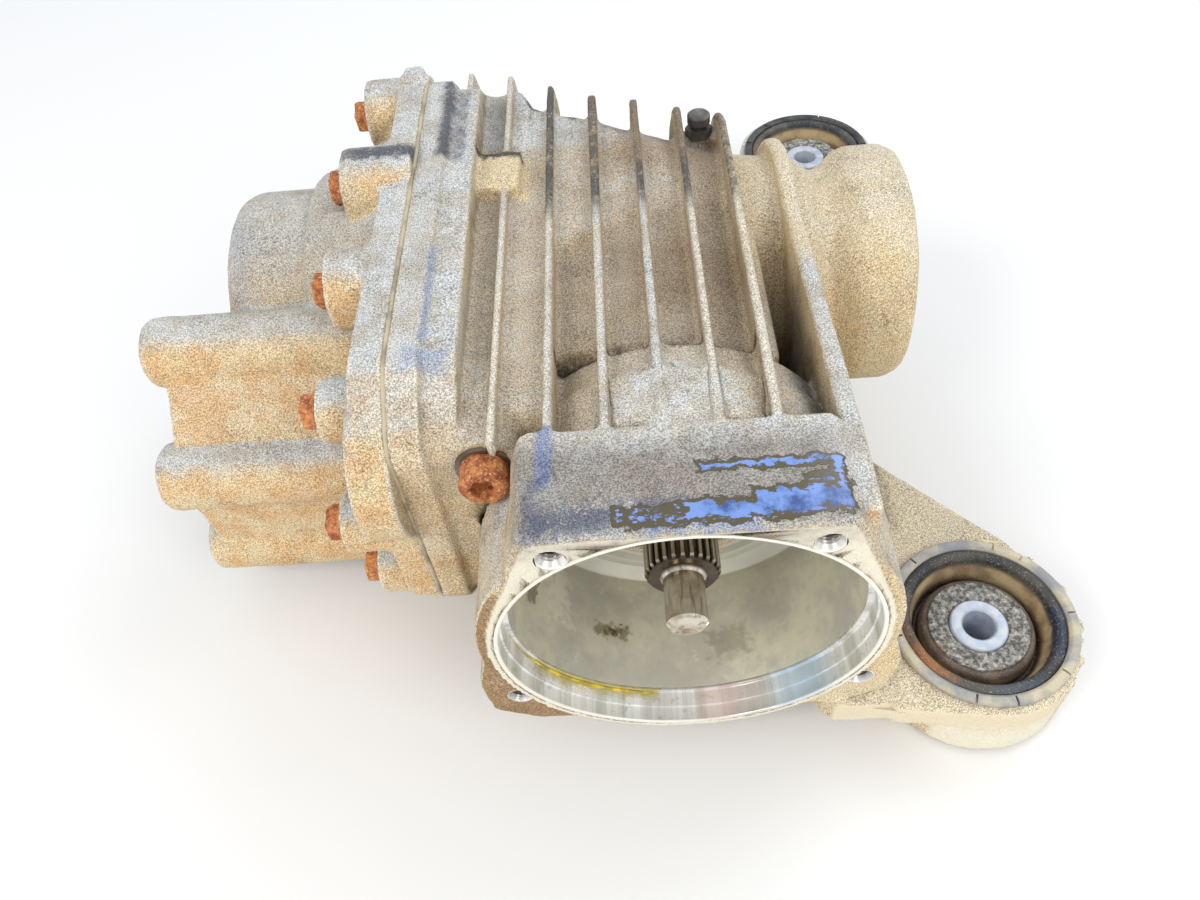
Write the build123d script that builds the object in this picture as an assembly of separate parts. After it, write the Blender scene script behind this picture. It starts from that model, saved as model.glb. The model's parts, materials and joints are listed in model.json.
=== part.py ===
from build123d import *
import os
from math import acos, asin, atan, cos, degrees, pi, radians, sin, sqrt, tan

# Rear final drive of a car with four driven wheels, its coupling taken off.
# Frame: origin at the centre of the coupling mouth on its flange face, +X to the right along the
# output axis, +Y into the housing along the pinion axis, +Z up. All lengths are in millimetres.

# Coupling mouth
mouth_r = 65.0
mouth_step_depth = 12.0
mouth_lead_r = 65.8
mouth_lead_depth = 6.0
mouth_lip = 4.2
face_pad_r = 9.0
face_recess = 2.0
cavity_r = 63.0
cavity_end_r = 60.0
cavity_depth = 66.0
shell_end_y = 86.0
block_half_top = 51.0
block_top = 68.5
block_depth = 43.0
block_skirt_r = 74.0
flange_hole_r = 3.4
flange_hole_depth = 20.0
flange_hole_upper = (41.7, 59.0)
flange_hole_lower = (64.0, -38.0)

# Output axis and the bevel pair
out_y = 189.0
ring_teeth = 27
pinion_teeth = 17
final_module = 4.0
final_face = 17.0
final_backlash = 0.7
pressure_angle = 20.0
ring_thickness = 12.0

# Differential gears
diff_x = -37.5
side_teeth = 14
planet_teeth = 10
diff_module = 3.1
diff_face = 9.0
diff_backlash = 0.6
cross_pin_r = 7.0
washer_thickness = 0.8
hub_r = 17.0
hub_end = 41.0
output_spline_r = 12.8
output_spline_teeth = 24
spline_height = 1.0

# Differential case
case_wall = 4.5
case_journal_r = 20.0
case_shoulder_r = 26.0
case_flange_thickness = 9.0
case_bore_r = 15.5
ring_bolt_count = 8
ring_bolt_circle_r = 46.0

# Bearings: bore radius, cup radius, width, rollers
case_bearing = (20.0, 40.0, 19.0, 15)
head_bearing = (17.5, 36.0, 18.0, 14)
tail_bearing = (15.0, 31.0, 17.0, 13)
case_bearing_right_x = 40.0
case_bearing_left_x = -100.0
head_bearing_y = 105.5
tail_bearing_y = 81.0

# Pinion shaft
spigot_r = 7.5
spigot_tip_y = 7.0
spline_start_y = 27.0
shaft_spline_r = 14.0
shaft_spline_teeth = 26
shaft_spline_height = 1.3
seal_journal_r = 15.0
seal_width = 9.0
pinion_nut_r = 23.0
pinion_nut_width = 9.0

# Main housing
bell_top = 62.5
bell_inner_r = 58.0
tunnel_r = 46.0
head_room_r = 39.5
deck_front_y = 54.0
deck_end_x = -44.0
deck_height = 118.0
parting_x = -95.0
flange_front_y = 42.0
flange_back_y = 267.0
flange_top = 79.0
flange_bottom = -85.0
flange_corner_r = 16.0
flange_chin = (48.0, 55.0)
flange_band = 11.0
second_band_end_x = -72.0
second_band_inset = 3.0
opening_r = 58.5
collar_r = 53.0
collar_bore_r = 44.0
collar_recess = 17.0
right_rim_x = 109.0
left_rim_x = -184.0
rim_round = 7.0
neck_r = 44.0
output_seal_r = 26.0

# Cooling fins: the first plane, the pitch and the radius of each fin about the output axis
fin_first_x = -79.0
fin_pitch = 18.5
fin_thickness = 3.2
fin_radii = (102.0, 98.0, 90.0, 83.0, 80.0, 75.5, 71.5)
fin_low = -34.0
plate_x = 52.0
plate_thickness = 7.0
plate_r = 59.0

# Side cover
gasket_thickness = 0.8
gasket_inset = 0.6
cover_slab = 13.0
cover_draft = 9.0
cover_boss_length = 29.0
dome_r = 62.0
dome_foot_r = 75.0
dome_end_r = 59.0
dome_end_x = -147.0
cover_boss_r = 12.0
top_boss_r = 15.5
top_boss_from_z = 60.0
cover_bolts_yz = (
    (245.0, 62.0), (181.0, 69.0), (126.0, 62.0), (75.0, 50.0), (55.0, 9.0),
    (67.0, -41.0), (148.0, -74.0), (200.0, -74.0), (247.0, -60.0), (254.0, 4.0),
)
lug_at_yz = (64.0, 36.0)
lug_r = 31.0
lug_width = 15.0
long_boss_r = 15.0
long_boss_end_x = -215.0
long_bosses_yz = ((136.0, 26.0), (100.0, -12.0), (104.0, -66.0))
long_boss_hole_r = 5.1
long_boss_hole_depth = 30.0

# Dowels between flange and cover, and the breather on top of the bell
dowel_r = 4.0
dowel_length = 14.0
dowels_yz = ((60.0, -17.0), (247.0, -28.0))
breather_at = (23.0, 222.0)
breather_base_z = 40.0
breather_seat_z = 54.0
breather_r = 3.6

# Fasteners
bolt_r = 4.0
bolt_clearance = 0.25
bolt_head_flats = 13.0
bolt_head_height = 7.0
bolt_flange_r = 9.0
bolt_flange_height = 1.8
cover_bolt_thread = 16.0
plug_r = 8.0
plug_head_r = 8.6
plug_head_height = 9.0
fill_plug_at = (-65.0, 45.0, 50.0)
drain_plug_at = (-64.0, 150.0, -83.0)

# Arms and bushings with vertical axes
eye_r = 41.0
eye_bore_r = 35.6
eye_bottom = -96.0
eye_top = -60.0
front_eye_at = (122.7, 33.6)
rear_eye_at = (104.5, 367.0)
arm_bottom = -74.0
sleeve_wall = 2.4
sleeve_collar_r = 38.0
sleeve_collar_height = 2.5
core_r = 11.9
core_bore_r = 6.5
core_disc_r = 22.0
groove_r = 26.5

# Clearances
run_gap = 0.3
fit_gap = 0.05

ON_BASE = (Align.CENTER, Align.CENTER, Align.MIN)
output_plane = Plane(origin=(0, out_y, 0), x_dir=(1, 0, 0), z_dir=(0, -1, 0))
pinion_plane = Plane(origin=(0, 0, 0), x_dir=(0, 1, 0), z_dir=(1, 0, 0))
output_axis = Axis((0, out_y, 0), (1, 0, 0))
pinion_axis = Axis((0, 0, 0), (0, 1, 0))


def rod(start, direction, length, radius):
    """A round bar that starts at a point and runs along a direction."""
    return Plane(origin=start, z_dir=direction) * Cylinder(radius, length, align=ON_BASE)


def tube(start, direction, length, outer, inner):
    """A round bar with a through bore."""
    return rod(start, direction, length, outer) - rod(start, direction, length, inner)


def turned(points, plane, axis):
    """A solid of revolution from (axial, radius) points."""
    return revolve(plane * make_face(Polyline(*points, close=True)), axis, 360)


def about_output(points):
    return turned(points, output_plane, output_axis)


def about_pinion(points):
    return turned(points, pinion_plane, pinion_axis)


def write(name, shape):
    """Save one sub-part; several separate pieces are kept as a group of solids."""
    export_step(shape, "parts/" + name + ".step")


os.makedirs("parts", exist_ok=True)


# Bevel gears. Each gear is made with its apex at the origin and its axis along +Z, towards its
# back. A tooth narrows in a straight line to the apex, so its flanks stay conjugate along the face.
class BevelGear:
    """Sizes of one straight bevel gear that meets its mate at right angles."""

    def __init__(self, teeth, mate, module, face, backlash):
        self.teeth = teeth
        self.angle = atan(teeth / mate)
        self.pitch_r = module * teeth / 2
        self.cone = self.pitch_r / sin(self.angle)
        self.module = module
        self.backlash = backlash
        self.toe = (self.cone - face) / self.cone
        self.addendum = module
        self.dedendum = 1.25 * module

    def point(self, rise, scale=1.0):
        """(axial, radius) of a point that stands off the pitch cone at the heel."""
        axial = self.cone * cos(self.angle) - rise * sin(self.angle)
        radius = self.cone * sin(self.angle) + rise * cos(self.angle)
        return (axial * scale, radius * scale)

    def flank(self):
        """(half width, rise) pairs of one involute flank, from below the root to the tip."""
        virtual_r = self.pitch_r / cos(self.angle)
        base_r = virtual_r * cos(radians(pressure_angle))
        half = (pi * self.module / 2 - self.backlash) / (2 * virtual_r)
        pitch_inv = tan(radians(pressure_angle)) - radians(pressure_angle)
        pairs = []
        for rise in (-1.5 * self.module, -0.5 * self.module, 0.0, 0.5 * self.module, self.addendum):
            radius = virtual_r + rise
            turn = acos(min(1.0, base_r / radius))
            spread = half + pitch_inv - (tan(turn) - turn)
            pairs.append((radius * sin(spread), radius * cos(spread) - virtual_r))
        return pairs

    def tooth(self, turn):
        """One tooth as a ruled loft from its heel profile to its toe profile."""
        right = self.flank()
        outline = [(-w, h) for w, h in right] + [(w, h) for w, h in reversed(right)]
        sections = []
        for scale in (1.0, self.toe):
            origin = (self.pitch_r * scale, 0, self.cone * cos(self.angle) * scale)
            normal = (sin(self.angle), 0, cos(self.angle))
            plane = Plane(origin=origin, x_dir=(0, 1, 0), z_dir=normal)
            flat = [(w * scale, -h * scale) for w, h in outline]
            sections.append(plane * make_face(Polyline(*flat, close=True)))
        return Rot(0, 0, turn) * loft(sections, ruled=True)

    def make(self, blank_points, first_turn):
        """The blank with every tooth on it; its root cone joins the points given."""
        root = [self.point(-self.dedendum, self.toe), self.point(-self.dedendum)]
        blank_plane = Plane(origin=(0, 0, 0), x_dir=(0, 0, 1), z_dir=(0, -1, 0))
        blank = turned(root + blank_points, blank_plane, Axis.Z)
        pitch = 360 / self.teeth
        return blank + [self.tooth(first_turn + i * pitch) for i in range(self.teeth)]


ring = BevelGear(ring_teeth, pinion_teeth, final_module, final_face, final_backlash)
pinion = BevelGear(pinion_teeth, ring_teeth, final_module, final_face, final_backlash)
side = BevelGear(side_teeth, planet_teeth, diff_module, diff_face, diff_backlash)
planet = BevelGear(planet_teeth, side_teeth, diff_module, diff_face, diff_backlash)


def spline_bar(start, direction, length, outer, height, teeth):
    """A bar whose outline has straight-sided spline teeth."""
    points = []
    for i in range(teeth):
        for share, radius in ((-0.30, outer - height), (-0.18, outer), (0.18, outer), (0.30, outer - height)):
            turn = 2 * pi * (i + share) / teeth
            points.append((radius * cos(turn), radius * sin(turn)))
    outline = Plane(origin=start, z_dir=direction) * make_face(Polyline(*points, close=True))
    return extrude(outline, length)


# Ring gear: its back faces left, and a gap between two teeth faces the pinion
ring_frame = Plane(origin=(0, out_y, 0), x_dir=(0, -1, 0), z_dir=(-1, 0, 0))
ring_back = ring.point(-ring.dedendum)[0] + ring_thickness - final_module / 2
ring_outer_r = ring.point(-ring.dedendum)[1] + 3.0
ring_seat_r = 36.0
ring_bolts_yz = [
    (out_y + ring_bolt_circle_r * cos(2 * pi * i / ring_bolt_count),
     ring_bolt_circle_r * sin(2 * pi * i / ring_bolt_count))
    for i in range(ring_bolt_count)
]


def make_ring_gear():
    toe_axial = ring.point(-ring.dedendum, ring.toe)[0]
    gear = ring_frame * ring.make([
        (ring.point(-ring.dedendum)[0], ring_outer_r),
        (ring_back, ring_outer_r),
        (ring_back, ring_seat_r + fit_gap),
        (toe_axial, ring_seat_r + fit_gap),
    ], 180 / ring_teeth)
    for y, z in ring_bolts_yz:
        gear -= rod((-ring_back, y, z), (1, 0, 0), 10.0, bolt_r + fit_gap)
    return gear


write("ring_gear", make_ring_gear())

# Pinion: head, bearing journals, thread, seal journal, spline and spigot in one forging
pinion_frame = Plane(origin=(0, out_y, 0), x_dir=(-1, 0, 0), z_dir=(0, -1, 0))
head_bearing_end_y = head_bearing_y + head_bearing[2]
tail_bearing_end_y = tail_bearing_y + tail_bearing[2]
pinion_shim_width = 1.0
spline_end_y = tail_bearing_y - pinion_nut_width - seal_width - 5.0
seal_y = spline_end_y + 2.0


def make_pinion():
    heel = pinion.point(-pinion.dedendum)
    toe = pinion.point(-pinion.dedendum, pinion.toe)
    back = out_y - head_bearing_end_y
    head = pinion_frame * pinion.make([
        (heel[0] + 4.0, heel[1]),
        (back, 24.0),
        (back, 0.0),
        (toe[0], 0.0),
    ], 0)
    shaft = about_pinion([
        (spigot_tip_y, 0), (spigot_tip_y, spigot_r - 1.0), (spigot_tip_y + 1.0, spigot_r),
        (spline_start_y - 1.5, spigot_r), (spline_start_y, spigot_r + 1.5),
        (spline_start_y, shaft_spline_r - shaft_spline_height - 1.0),
        (spline_start_y + 1.0, shaft_spline_r - shaft_spline_height),
        (spline_end_y, shaft_spline_r - shaft_spline_height),
        (spline_end_y, seal_journal_r), (tail_bearing_end_y, seal_journal_r),
        (tail_bearing_end_y + 3.0, head_bearing[0]), (head_bearing_end_y + 1.0, head_bearing[0]),
        (head_bearing_end_y + 1.0, 0),
    ])
    teeth = spline_bar(
        (0, spline_start_y, 0), (0, 1, 0), spline_end_y - spline_start_y,
        shaft_spline_r, shaft_spline_height, shaft_spline_teeth,
    )
    chamfer_cone = about_pinion([
        (spline_start_y, 0), (spline_start_y, shaft_spline_r - 1.6),
        (spline_start_y + 1.8, shaft_spline_r + 0.2), (spline_end_y, shaft_spline_r + 0.2),
        (spline_end_y, 0),
    ])
    return head + shaft + (teeth & chamfer_cone)


write("pinion_shaft", make_pinion())


# Side gears on the output axis and planet gears on the cross pin
side_back = side.point(-side.dedendum)[0] + 3.0
side_seat = side_back + washer_thickness
sphere_r = planet.cone + 2.5
planet_seat_r = sphere_r - washer_thickness - 0.2


def make_side_gear(direction):
    frame = Plane(origin=(diff_x, out_y, 0), x_dir=(0, 0, 1), z_dir=(direction, 0, 0))
    heel = side.point(-side.dedendum)
    toe = side.point(-side.dedendum, side.toe)
    bore = output_spline_r - spline_height
    gear = side.make([
        (side_back, heel[1]), (side_back, hub_r), (hub_end - 1.0, hub_r), (hub_end, hub_r - 1.0),
        (hub_end, bore), (toe[0], bore),
    ], 180 / side_teeth)
    gear -= spline_bar(
        (0, 0, 0), (0, 0, 1), hub_end + 1.0, output_spline_r, spline_height, output_spline_teeth,
    )
    return frame * gear


def make_planet_gear(direction):
    frame = Plane(origin=(diff_x, out_y, 0), x_dir=(-1, 0, 0), z_dir=(0, 0, direction))
    heel = planet.point(-planet.dedendum)
    toe = planet.point(-planet.dedendum, planet.toe)
    bore = cross_pin_r + run_gap / 2
    gear = planet.make([
        (sphere_r, heel[1]), (sphere_r, bore), (toe[0], bore),
    ], 0)
    return frame * (gear & Sphere(planet_seat_r))


write("left_side_gear", make_side_gear(-1))
write("right_side_gear", make_side_gear(1))
write("upper_planet_gear", make_planet_gear(1))
write("lower_planet_gear", make_planet_gear(-1))


# Tapered roller bearings. Each is made about +Z with its thick cone rib at z = 0.
roller_tilt = radians(12.0)
roller_half_cone = radians(1.7)
race_gap = 0.15
rib_width = 2.6
cage_wall = 1.2


def bearing_parts(bearing):
    """Cup, cone, rollers and cage of one tapered roller bearing."""
    bore, cup, width, count = bearing
    mean = (bore + cup) / 2
    apex = width / 2 + mean / tan(roller_tilt)
    axial_plane = Plane(origin=(0, 0, 0), x_dir=(0, 0, 1), z_dir=(0, -1, 0))

    def on_cone(z, angle, shift):
        return (z, (apex - z) * tan(angle) + shift)

    cup_angle = roller_tilt + roller_half_cone
    cone_angle = roller_tilt - roller_half_cone
    outer = turned([
        (3.0, cup), (width, cup), on_cone(width, cup_angle, race_gap), on_cone(3.0, cup_angle, race_gap),
    ], axial_plane, Axis.Z)
    rib = on_cone(rib_width, cone_angle, -race_gap)[1] + 2.0
    inner = turned([
        (0, bore), (0, rib), (rib_width, rib), on_cone(rib_width, cone_angle, -race_gap),
        on_cone(width - 1.0, cone_angle, -race_gap), (width - 1.0, bore),
    ], axial_plane, Axis.Z)
    roller_start = rib_width + 1.2
    roller_length = width - rib_width - 4.0
    big_r = (apex - roller_start) / cos(roller_tilt) * tan(roller_half_cone)
    small_r = big_r - roller_length * tan(roller_half_cone)
    axis = (-sin(roller_tilt), 0, cos(roller_tilt))
    seat = Plane(origin=((apex - roller_start) * tan(roller_tilt), 0, roller_start), z_dir=axis)
    roller = seat * Cone(big_r, small_r, roller_length, align=ON_BASE)
    pocket_seat = Plane(
        origin=tuple(o - run_gap * a for o, a in zip(tuple(seat.origin), axis)), z_dir=axis,
    )
    pocket = pocket_seat * Cylinder(big_r + run_gap / 2, roller_length + 2 * run_gap, align=ON_BASE)
    cage_start = roller_start - 0.7
    cage_end = roller_start + roller_length + 1.4
    cage = turned([
        on_cone(cage_start, roller_tilt, -cage_wall / 2), on_cone(cage_start, roller_tilt, cage_wall / 2),
        on_cone(cage_end, roller_tilt, cage_wall / 2), on_cone(cage_end, roller_tilt, -cage_wall / 2),
    ], axial_plane, Axis.Z)
    turns = [Rot(0, 0, 360 * i / count) for i in range(count)]
    cage -= [turn * pocket for turn in turns]
    return outer, inner, [turn * roller for turn in turns], cage


def write_bearing(name, bearing, start, direction):
    outer, inner, rollers, cage = bearing_parts(bearing)
    frame = Plane(origin=start, z_dir=direction)
    write(name + "_cup", frame * outer)
    write(name + "_cone", frame * inner)
    write(name + "_rollers", Compound(children=[frame * roller for roller in rollers]))
    write(name + "_cage", frame * cage)


write_bearing("pinion_head_bearing", head_bearing, (0, head_bearing_end_y, 0), (0, -1, 0))
write_bearing("pinion_tail_bearing", tail_bearing, (0, tail_bearing_y, 0), (0, 1, 0))
write_bearing("right_case_bearing", case_bearing, (case_bearing_right_x, out_y, 0), (1, 0, 0))
write_bearing("left_case_bearing", case_bearing, (case_bearing_left_x, out_y, 0), (-1, 0, 0))

# Spacer sleeve, setting shim, slotted lock nut and oil seal of the pinion
spacer_outer_r = 20.0
write("pinion_spacer", about_pinion([
    (tail_bearing_end_y - 1.0, seal_journal_r + fit_gap), (tail_bearing_end_y - 1.0, spacer_outer_r),
    (head_bearing_y + 1.0, spacer_outer_r), (head_bearing_y + 1.0, head_bearing[0] + fit_gap),
    (tail_bearing_end_y + 3.0, head_bearing[0] + fit_gap), (tail_bearing_end_y, seal_journal_r + fit_gap),
]))
write("pinion_shim", tube(
    (0, head_bearing_y - pinion_shim_width, 0), (0, 1, 0), pinion_shim_width, head_bearing[1] - 0.2, 30.0,
))


def make_pinion_nut():
    start = (0, tail_bearing_y - pinion_nut_width, 0)
    nut = tube(start, (0, 1, 0), pinion_nut_width, pinion_nut_r, seal_journal_r + fit_gap)
    slots = PolarLocations(pinion_nut_r, 6) * Box(6.0, 5.0, 2 * pinion_nut_width)
    return nut - Plane(origin=start, z_dir=(0, 1, 0)) * Compound(children=list(slots))


write("pinion_nut", make_pinion_nut())


def seal_ring(outer, journal, width):
    """An oil seal about +Z: metal case with a lip that reaches in towards the shaft."""
    plane = Plane(origin=(0, 0, 0), x_dir=(0, 0, 1), z_dir=(0, -1, 0))
    return turned([
        (0, journal + 3.0), (0, outer), (width, outer), (width, outer - 1.5), (2.0, outer - 1.5),
        (2.0, journal + 5.0), (width - 2.0, journal + 4.0), (width - 2.0, journal + 1.5),
        (2.0, journal + run_gap), (1.0, journal + run_gap),
    ], plane, Axis.Z)


write("pinion_seal", Plane(origin=(0, seal_y, 0), z_dir=(0, 1, 0)) * seal_ring(
    tail_bearing[1], seal_journal_r, seal_width))

# Differential case: journals, ring gear flange, hollow middle with two windows, cross pin bore
case_outer_r = 35.0
case_half = 31.0
case_flange_x = -ring_back
case_flange_end_x = case_flange_x - case_flange_thickness
lock_pin_r = 1.6
lock_pin_at = 12.0
side_pocket_r = side.point(side.addendum)[1] + 1.5


def make_case_room():
    """The hollow of the case: a round seat for the planet gears, pockets and bores for the side gears."""
    start = sqrt(sphere_r ** 2 - side_pocket_r ** 2)
    hub_room = hub_end + 1.0
    hub_bore = hub_r + run_gap / 2
    left = [
        (diff_x - hub_room, 0), (diff_x - hub_room, hub_bore), (diff_x - side_seat, hub_bore),
        (diff_x - side_seat, side_pocket_r), (diff_x - start, side_pocket_r),
    ]
    right = [(2 * diff_x - x, r) for x, r in reversed(left)]
    seat = ThreePointArc(left[-1], (diff_x, sphere_r), right[0])
    outline = make_face([Polyline(*left), seat, Polyline(*right), Line(right[-1], left[0])])
    return revolve(output_plane * outline, output_axis, 360)


def make_case():
    left_end = case_bearing_left_x - case_bearing[2]
    right_end = case_bearing_right_x + case_bearing[2]
    case = about_output([
        (left_end, case_bore_r), (left_end, case_journal_r),
        (case_bearing_left_x, case_journal_r), (case_bearing_left_x, case_shoulder_r),
        (diff_x - case_half - 6.0, case_shoulder_r), (case_flange_end_x - 4.0, case_outer_r),
        (case_flange_end_x, case_outer_r + 3.0), (case_flange_end_x, ring_outer_r),
        (case_flange_x, ring_outer_r), (case_flange_x, ring_seat_r),
        (case_flange_x + 8.0, ring_seat_r), (case_flange_x + 9.0, case_outer_r),
        (diff_x + case_half - 6.0, case_outer_r), (diff_x + case_half + 3.0, case_shoulder_r),
        (case_bearing_right_x, case_shoulder_r), (case_bearing_right_x, case_journal_r),
        (right_end, case_journal_r), (right_end, case_bore_r),
    ])
    case -= make_case_room()
    middle = (diff_x, out_y, 0)
    window = Box(34.0, 4 * case_outer_r, 36.0)
    case -= Pos(*middle) * fillet(window.edges().filter_by(Axis.Y), 8.0)
    case -= rod((diff_x, out_y, -2 * case_outer_r), (0, 0, 1), 4 * case_outer_r, cross_pin_r + fit_gap)
    case -= rod(
        (diff_x - lock_pin_at, out_y, lock_pin_z), (1, 0, 0), 2 * lock_pin_at, lock_pin_r + fit_gap,
    )
    for y, z in ring_bolts_yz:
        case -= rod((case_flange_end_x - 5.0, y, z), (1, 0, 0), 20.0, bolt_r + bolt_clearance)
        case -= rod((case_flange_end_x - 15.0, y, z), (1, 0, 0), 15.0, bolt_flange_r + run_gap)
    return case


lock_pin_z = case_outer_r - case_wall - 0.2
cross_pin_half = case_outer_r - 0.6
write("differential_case", make_case())
write("cross_pin", rod((diff_x, out_y, -cross_pin_half), (0, 0, 1), 2 * cross_pin_half, cross_pin_r)
      - rod((diff_x - 10, out_y, lock_pin_z), (1, 0, 0), 20.0, lock_pin_r + fit_gap))
write("cross_pin_lock", rod(
    (diff_x - lock_pin_at, out_y, lock_pin_z), (1, 0, 0), 2 * lock_pin_at, lock_pin_r))
washer_outer_r = 23.0
write("side_gear_washers", Compound(children=[
    tube((diff_x - side_seat, out_y, 0), (1, 0, 0), washer_thickness, washer_outer_r, hub_r + run_gap),
    tube((diff_x + side_back, out_y, 0), (1, 0, 0), washer_thickness, washer_outer_r, hub_r + run_gap),
]))
washer_cap = Sphere(sphere_r - 0.02) - Sphere(sphere_r - washer_thickness)
washer_cap &= rod((0, 0, 0), (0, 0, 1), sphere_r, 15.0) - rod((0, 0, 0), (0, 0, 1), sphere_r, 8.0)
write("planet_gear_washers", Compound(children=[
    Pos(diff_x, out_y, 0) * washer_cap, Pos(diff_x, out_y, 0) * (Rot(180, 0, 0) * washer_cap),
]))


def hex_bolt(shank, flats, head, flange, flange_height):
    """Flanged hexagon bolt about +Z: the shank goes down from z = 0, the head stands above it."""
    collar = Cone(flange, flats * 0.52, flange_height + 1.0, align=ON_BASE)
    collar &= Cylinder(flange, flange_height, align=ON_BASE)
    hexagon = extrude(RegularPolygon(flats / 2, 6, major_radius=False), head)
    crown = Cone(flats * 0.5 + head, flats * 0.5, head, align=ON_BASE)
    return collar + (hexagon & crown) + Pos(0, 0, -shank) * Cylinder(bolt_r, shank, align=ON_BASE)


ring_bolt = hex_bolt(case_flange_thickness + 9.0, 10.0, 5.5, 8.0, 1.5)
write("ring_gear_bolts", Compound(children=[
    Plane(origin=(case_flange_end_x, y, z), z_dir=(-1, 0, 0)) * ring_bolt for y, z in ring_bolts_yz
]))


# Main housing
block_face = Plane(origin=(0, 0, 0), x_dir=(1, 0, 0), z_dir=(0, -1, 0))
plug_boss_length = 26.0
plug_seats = ((fill_plug_at, (0, 1, 0)), (drain_plug_at, (0, 0, 1)))


def rounded(points, radius):
    """A flat outline with every corner rounded."""
    face = make_face(Polyline(*points, close=True))
    return fillet(face.vertices(), radius)


def side_outline(inset, x):
    """The outline of the left side on the plane of x: a rounded box with a slanting chin."""
    front = flange_front_y + inset
    back = flange_back_y - inset
    top = flange_top - inset
    bottom = flange_bottom + inset
    chin_y, chin_z = flange_chin
    points = [
        (front, top - 16.0), (front + 26.0, top), (back - 26.0, top), (back, top - 22.0),
        (back, bottom + 18.0), (back - 18.0, bottom), (front + chin_y, bottom), (front, bottom + chin_z),
    ]
    frame = Plane(origin=(x, 0, 0), x_dir=(0, 1, 0), z_dir=(1, 0, 0))
    return frame * rounded(points, flange_corner_r - inset / 2)


def hull_plate(circles, z0, z1):
    """A flat plate that joins discs (x, y, r) with straight tangents, from z0 up to z1."""
    sketch = make_hull([edge for x, y, r in circles for edge in (Pos(x, y) * Circle(r)).edges()])
    return Pos(0, 0, z0) * extrude(sketch, z1 - z0)


def block_outline():
    """The front view of the coupling mouth: flat top, slanting sides and a round skirt."""
    half = [(block_half_top, block_top), (62.0, 35.0), (78.0, -28.0), (76.0, -50.0), (58.0, -60.0)]
    points = half + [(-x, z) for x, z in reversed(half)]
    skirt = Circle(block_skirt_r) & Pos(0, -block_top) * Rectangle(200.0, 4 * block_top)
    return fillet(make_face(Polyline(*points, close=True)).vertices(), 7.0) + skirt


def make_face_recess():
    """What is cut back from the mouth's face: all but the machined lip and the two upper pads."""
    lip = Circle(mouth_r + mouth_lip)
    raised = lip
    for hand in (-1, 1):
        pad = Pos(hand * flange_hole_upper[0], flange_hole_upper[1]) * Circle(face_pad_r)
        raised += make_hull(lip.edges() + pad.edges())
    return extrude(block_face * (Rectangle(200.0, 200.0) - raised), -face_recess)


def make_block():
    """The coupling mouth and what joins it to the pinion tunnel, before it is hollowed."""
    block = extrude(block_face * block_outline(), -block_depth) - make_face_recess()
    shell = about_pinion([
        (block_depth - 10.0, 0), (block_depth - 10.0, block_top - 0.5), (cavity_depth, cavity_end_r + 6.0),
        (shell_end_y - 3.0, cavity_end_r + 3.0), (shell_end_y, cavity_end_r), (shell_end_y, 0),
    ])
    tunnel = rod((0, cavity_depth, 0), (0, 1, 0), out_y - cavity_depth - 40.0, tunnel_r)
    return block + shell + tunnel


def make_bell():
    """The body round the ring gear, from the left flange to the right collar."""
    bell = about_output([
        (-90.0, 0), (-90.0, 88.0), (-56.0, 90.0), (-50.0, 80.0), (-43.0, 77.0), (-33.0, 74.6),
        (0, 64.6), (18.0, 59.0), (40.0, 53.0), (64.0, 50.0), (71.0, neck_r), (75.0, neck_r),
        (84.0, collar_r - 1.5), (88.0, collar_r), (right_rim_x - rim_round, collar_r),
        (right_rim_x - rim_round * 0.3, collar_r - rim_round * 0.3), (right_rim_x, collar_r - rim_round),
        (right_rim_x, 0),
    ])
    reach = 2 * flange_back_y
    above = Pos(0, out_y, bell_top) * Box(2 * abs(diff_x) + 4.0 + 40.0, reach, 60.0, align=ON_BASE)
    left_above = Pos(-90.0, out_y, bell_top) * Box(120.0, reach, 60.0, align=ON_BASE)
    below = Pos(0, out_y, flange_bottom - 60.0) * Box(300.0, reach, 60.0, align=ON_BASE)
    return bell - above - left_above - below


def make_left_side():
    """The left flange in two steps, and the body that joins it to the bell and the mouth."""
    first = extrude(side_outline(0, parting_x), flange_band)
    second_x = parting_x + flange_band
    second = extrude(side_outline(second_band_inset, second_x), second_band_end_x - second_x)
    body = extrude(side_outline(flange_top - bell_top, second_band_end_x), 16.0)
    depth = out_y + 20.0 - deck_front_y
    deck = Pos(second_band_end_x - 4.0, deck_front_y, bell_top) * Box(
        deck_end_x - second_band_end_x + 4.0, depth, deck_height, align=(Align.MIN, Align.MIN, Align.MAX))
    deck = fillet(deck.edges().filter_by(Axis.X).group_by(Axis.Y)[0], 9.0)
    return first + second + body + deck


def make_fin(i):
    """One cooling fin: flat top edge, long curve round the back, fading low on the back."""
    x = fin_first_x + i * fin_pitch
    radius = fin_radii[i]
    back = sqrt(radius ** 2 - block_top ** 2)
    low = sqrt(radius ** 2 - fin_low ** 2)
    frame = Plane(origin=(x - fin_thickness / 2, 0, 0), x_dir=(0, 1, 0), z_dir=(1, 0, 0))
    front = out_y if i == 0 else block_depth - 3.0
    edges = [
        Line((front, block_top), (out_y + back, block_top)),
        RadiusArc((out_y + back, block_top), (out_y + low, fin_low), radius),
        Line((out_y + low, fin_low), (out_y, fin_low)),
        Line((out_y, fin_low), (front, 0)),
        Line((front, 0), (front, block_top)),
    ]
    return extrude(frame * make_face(edges), fin_thickness)


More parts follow.
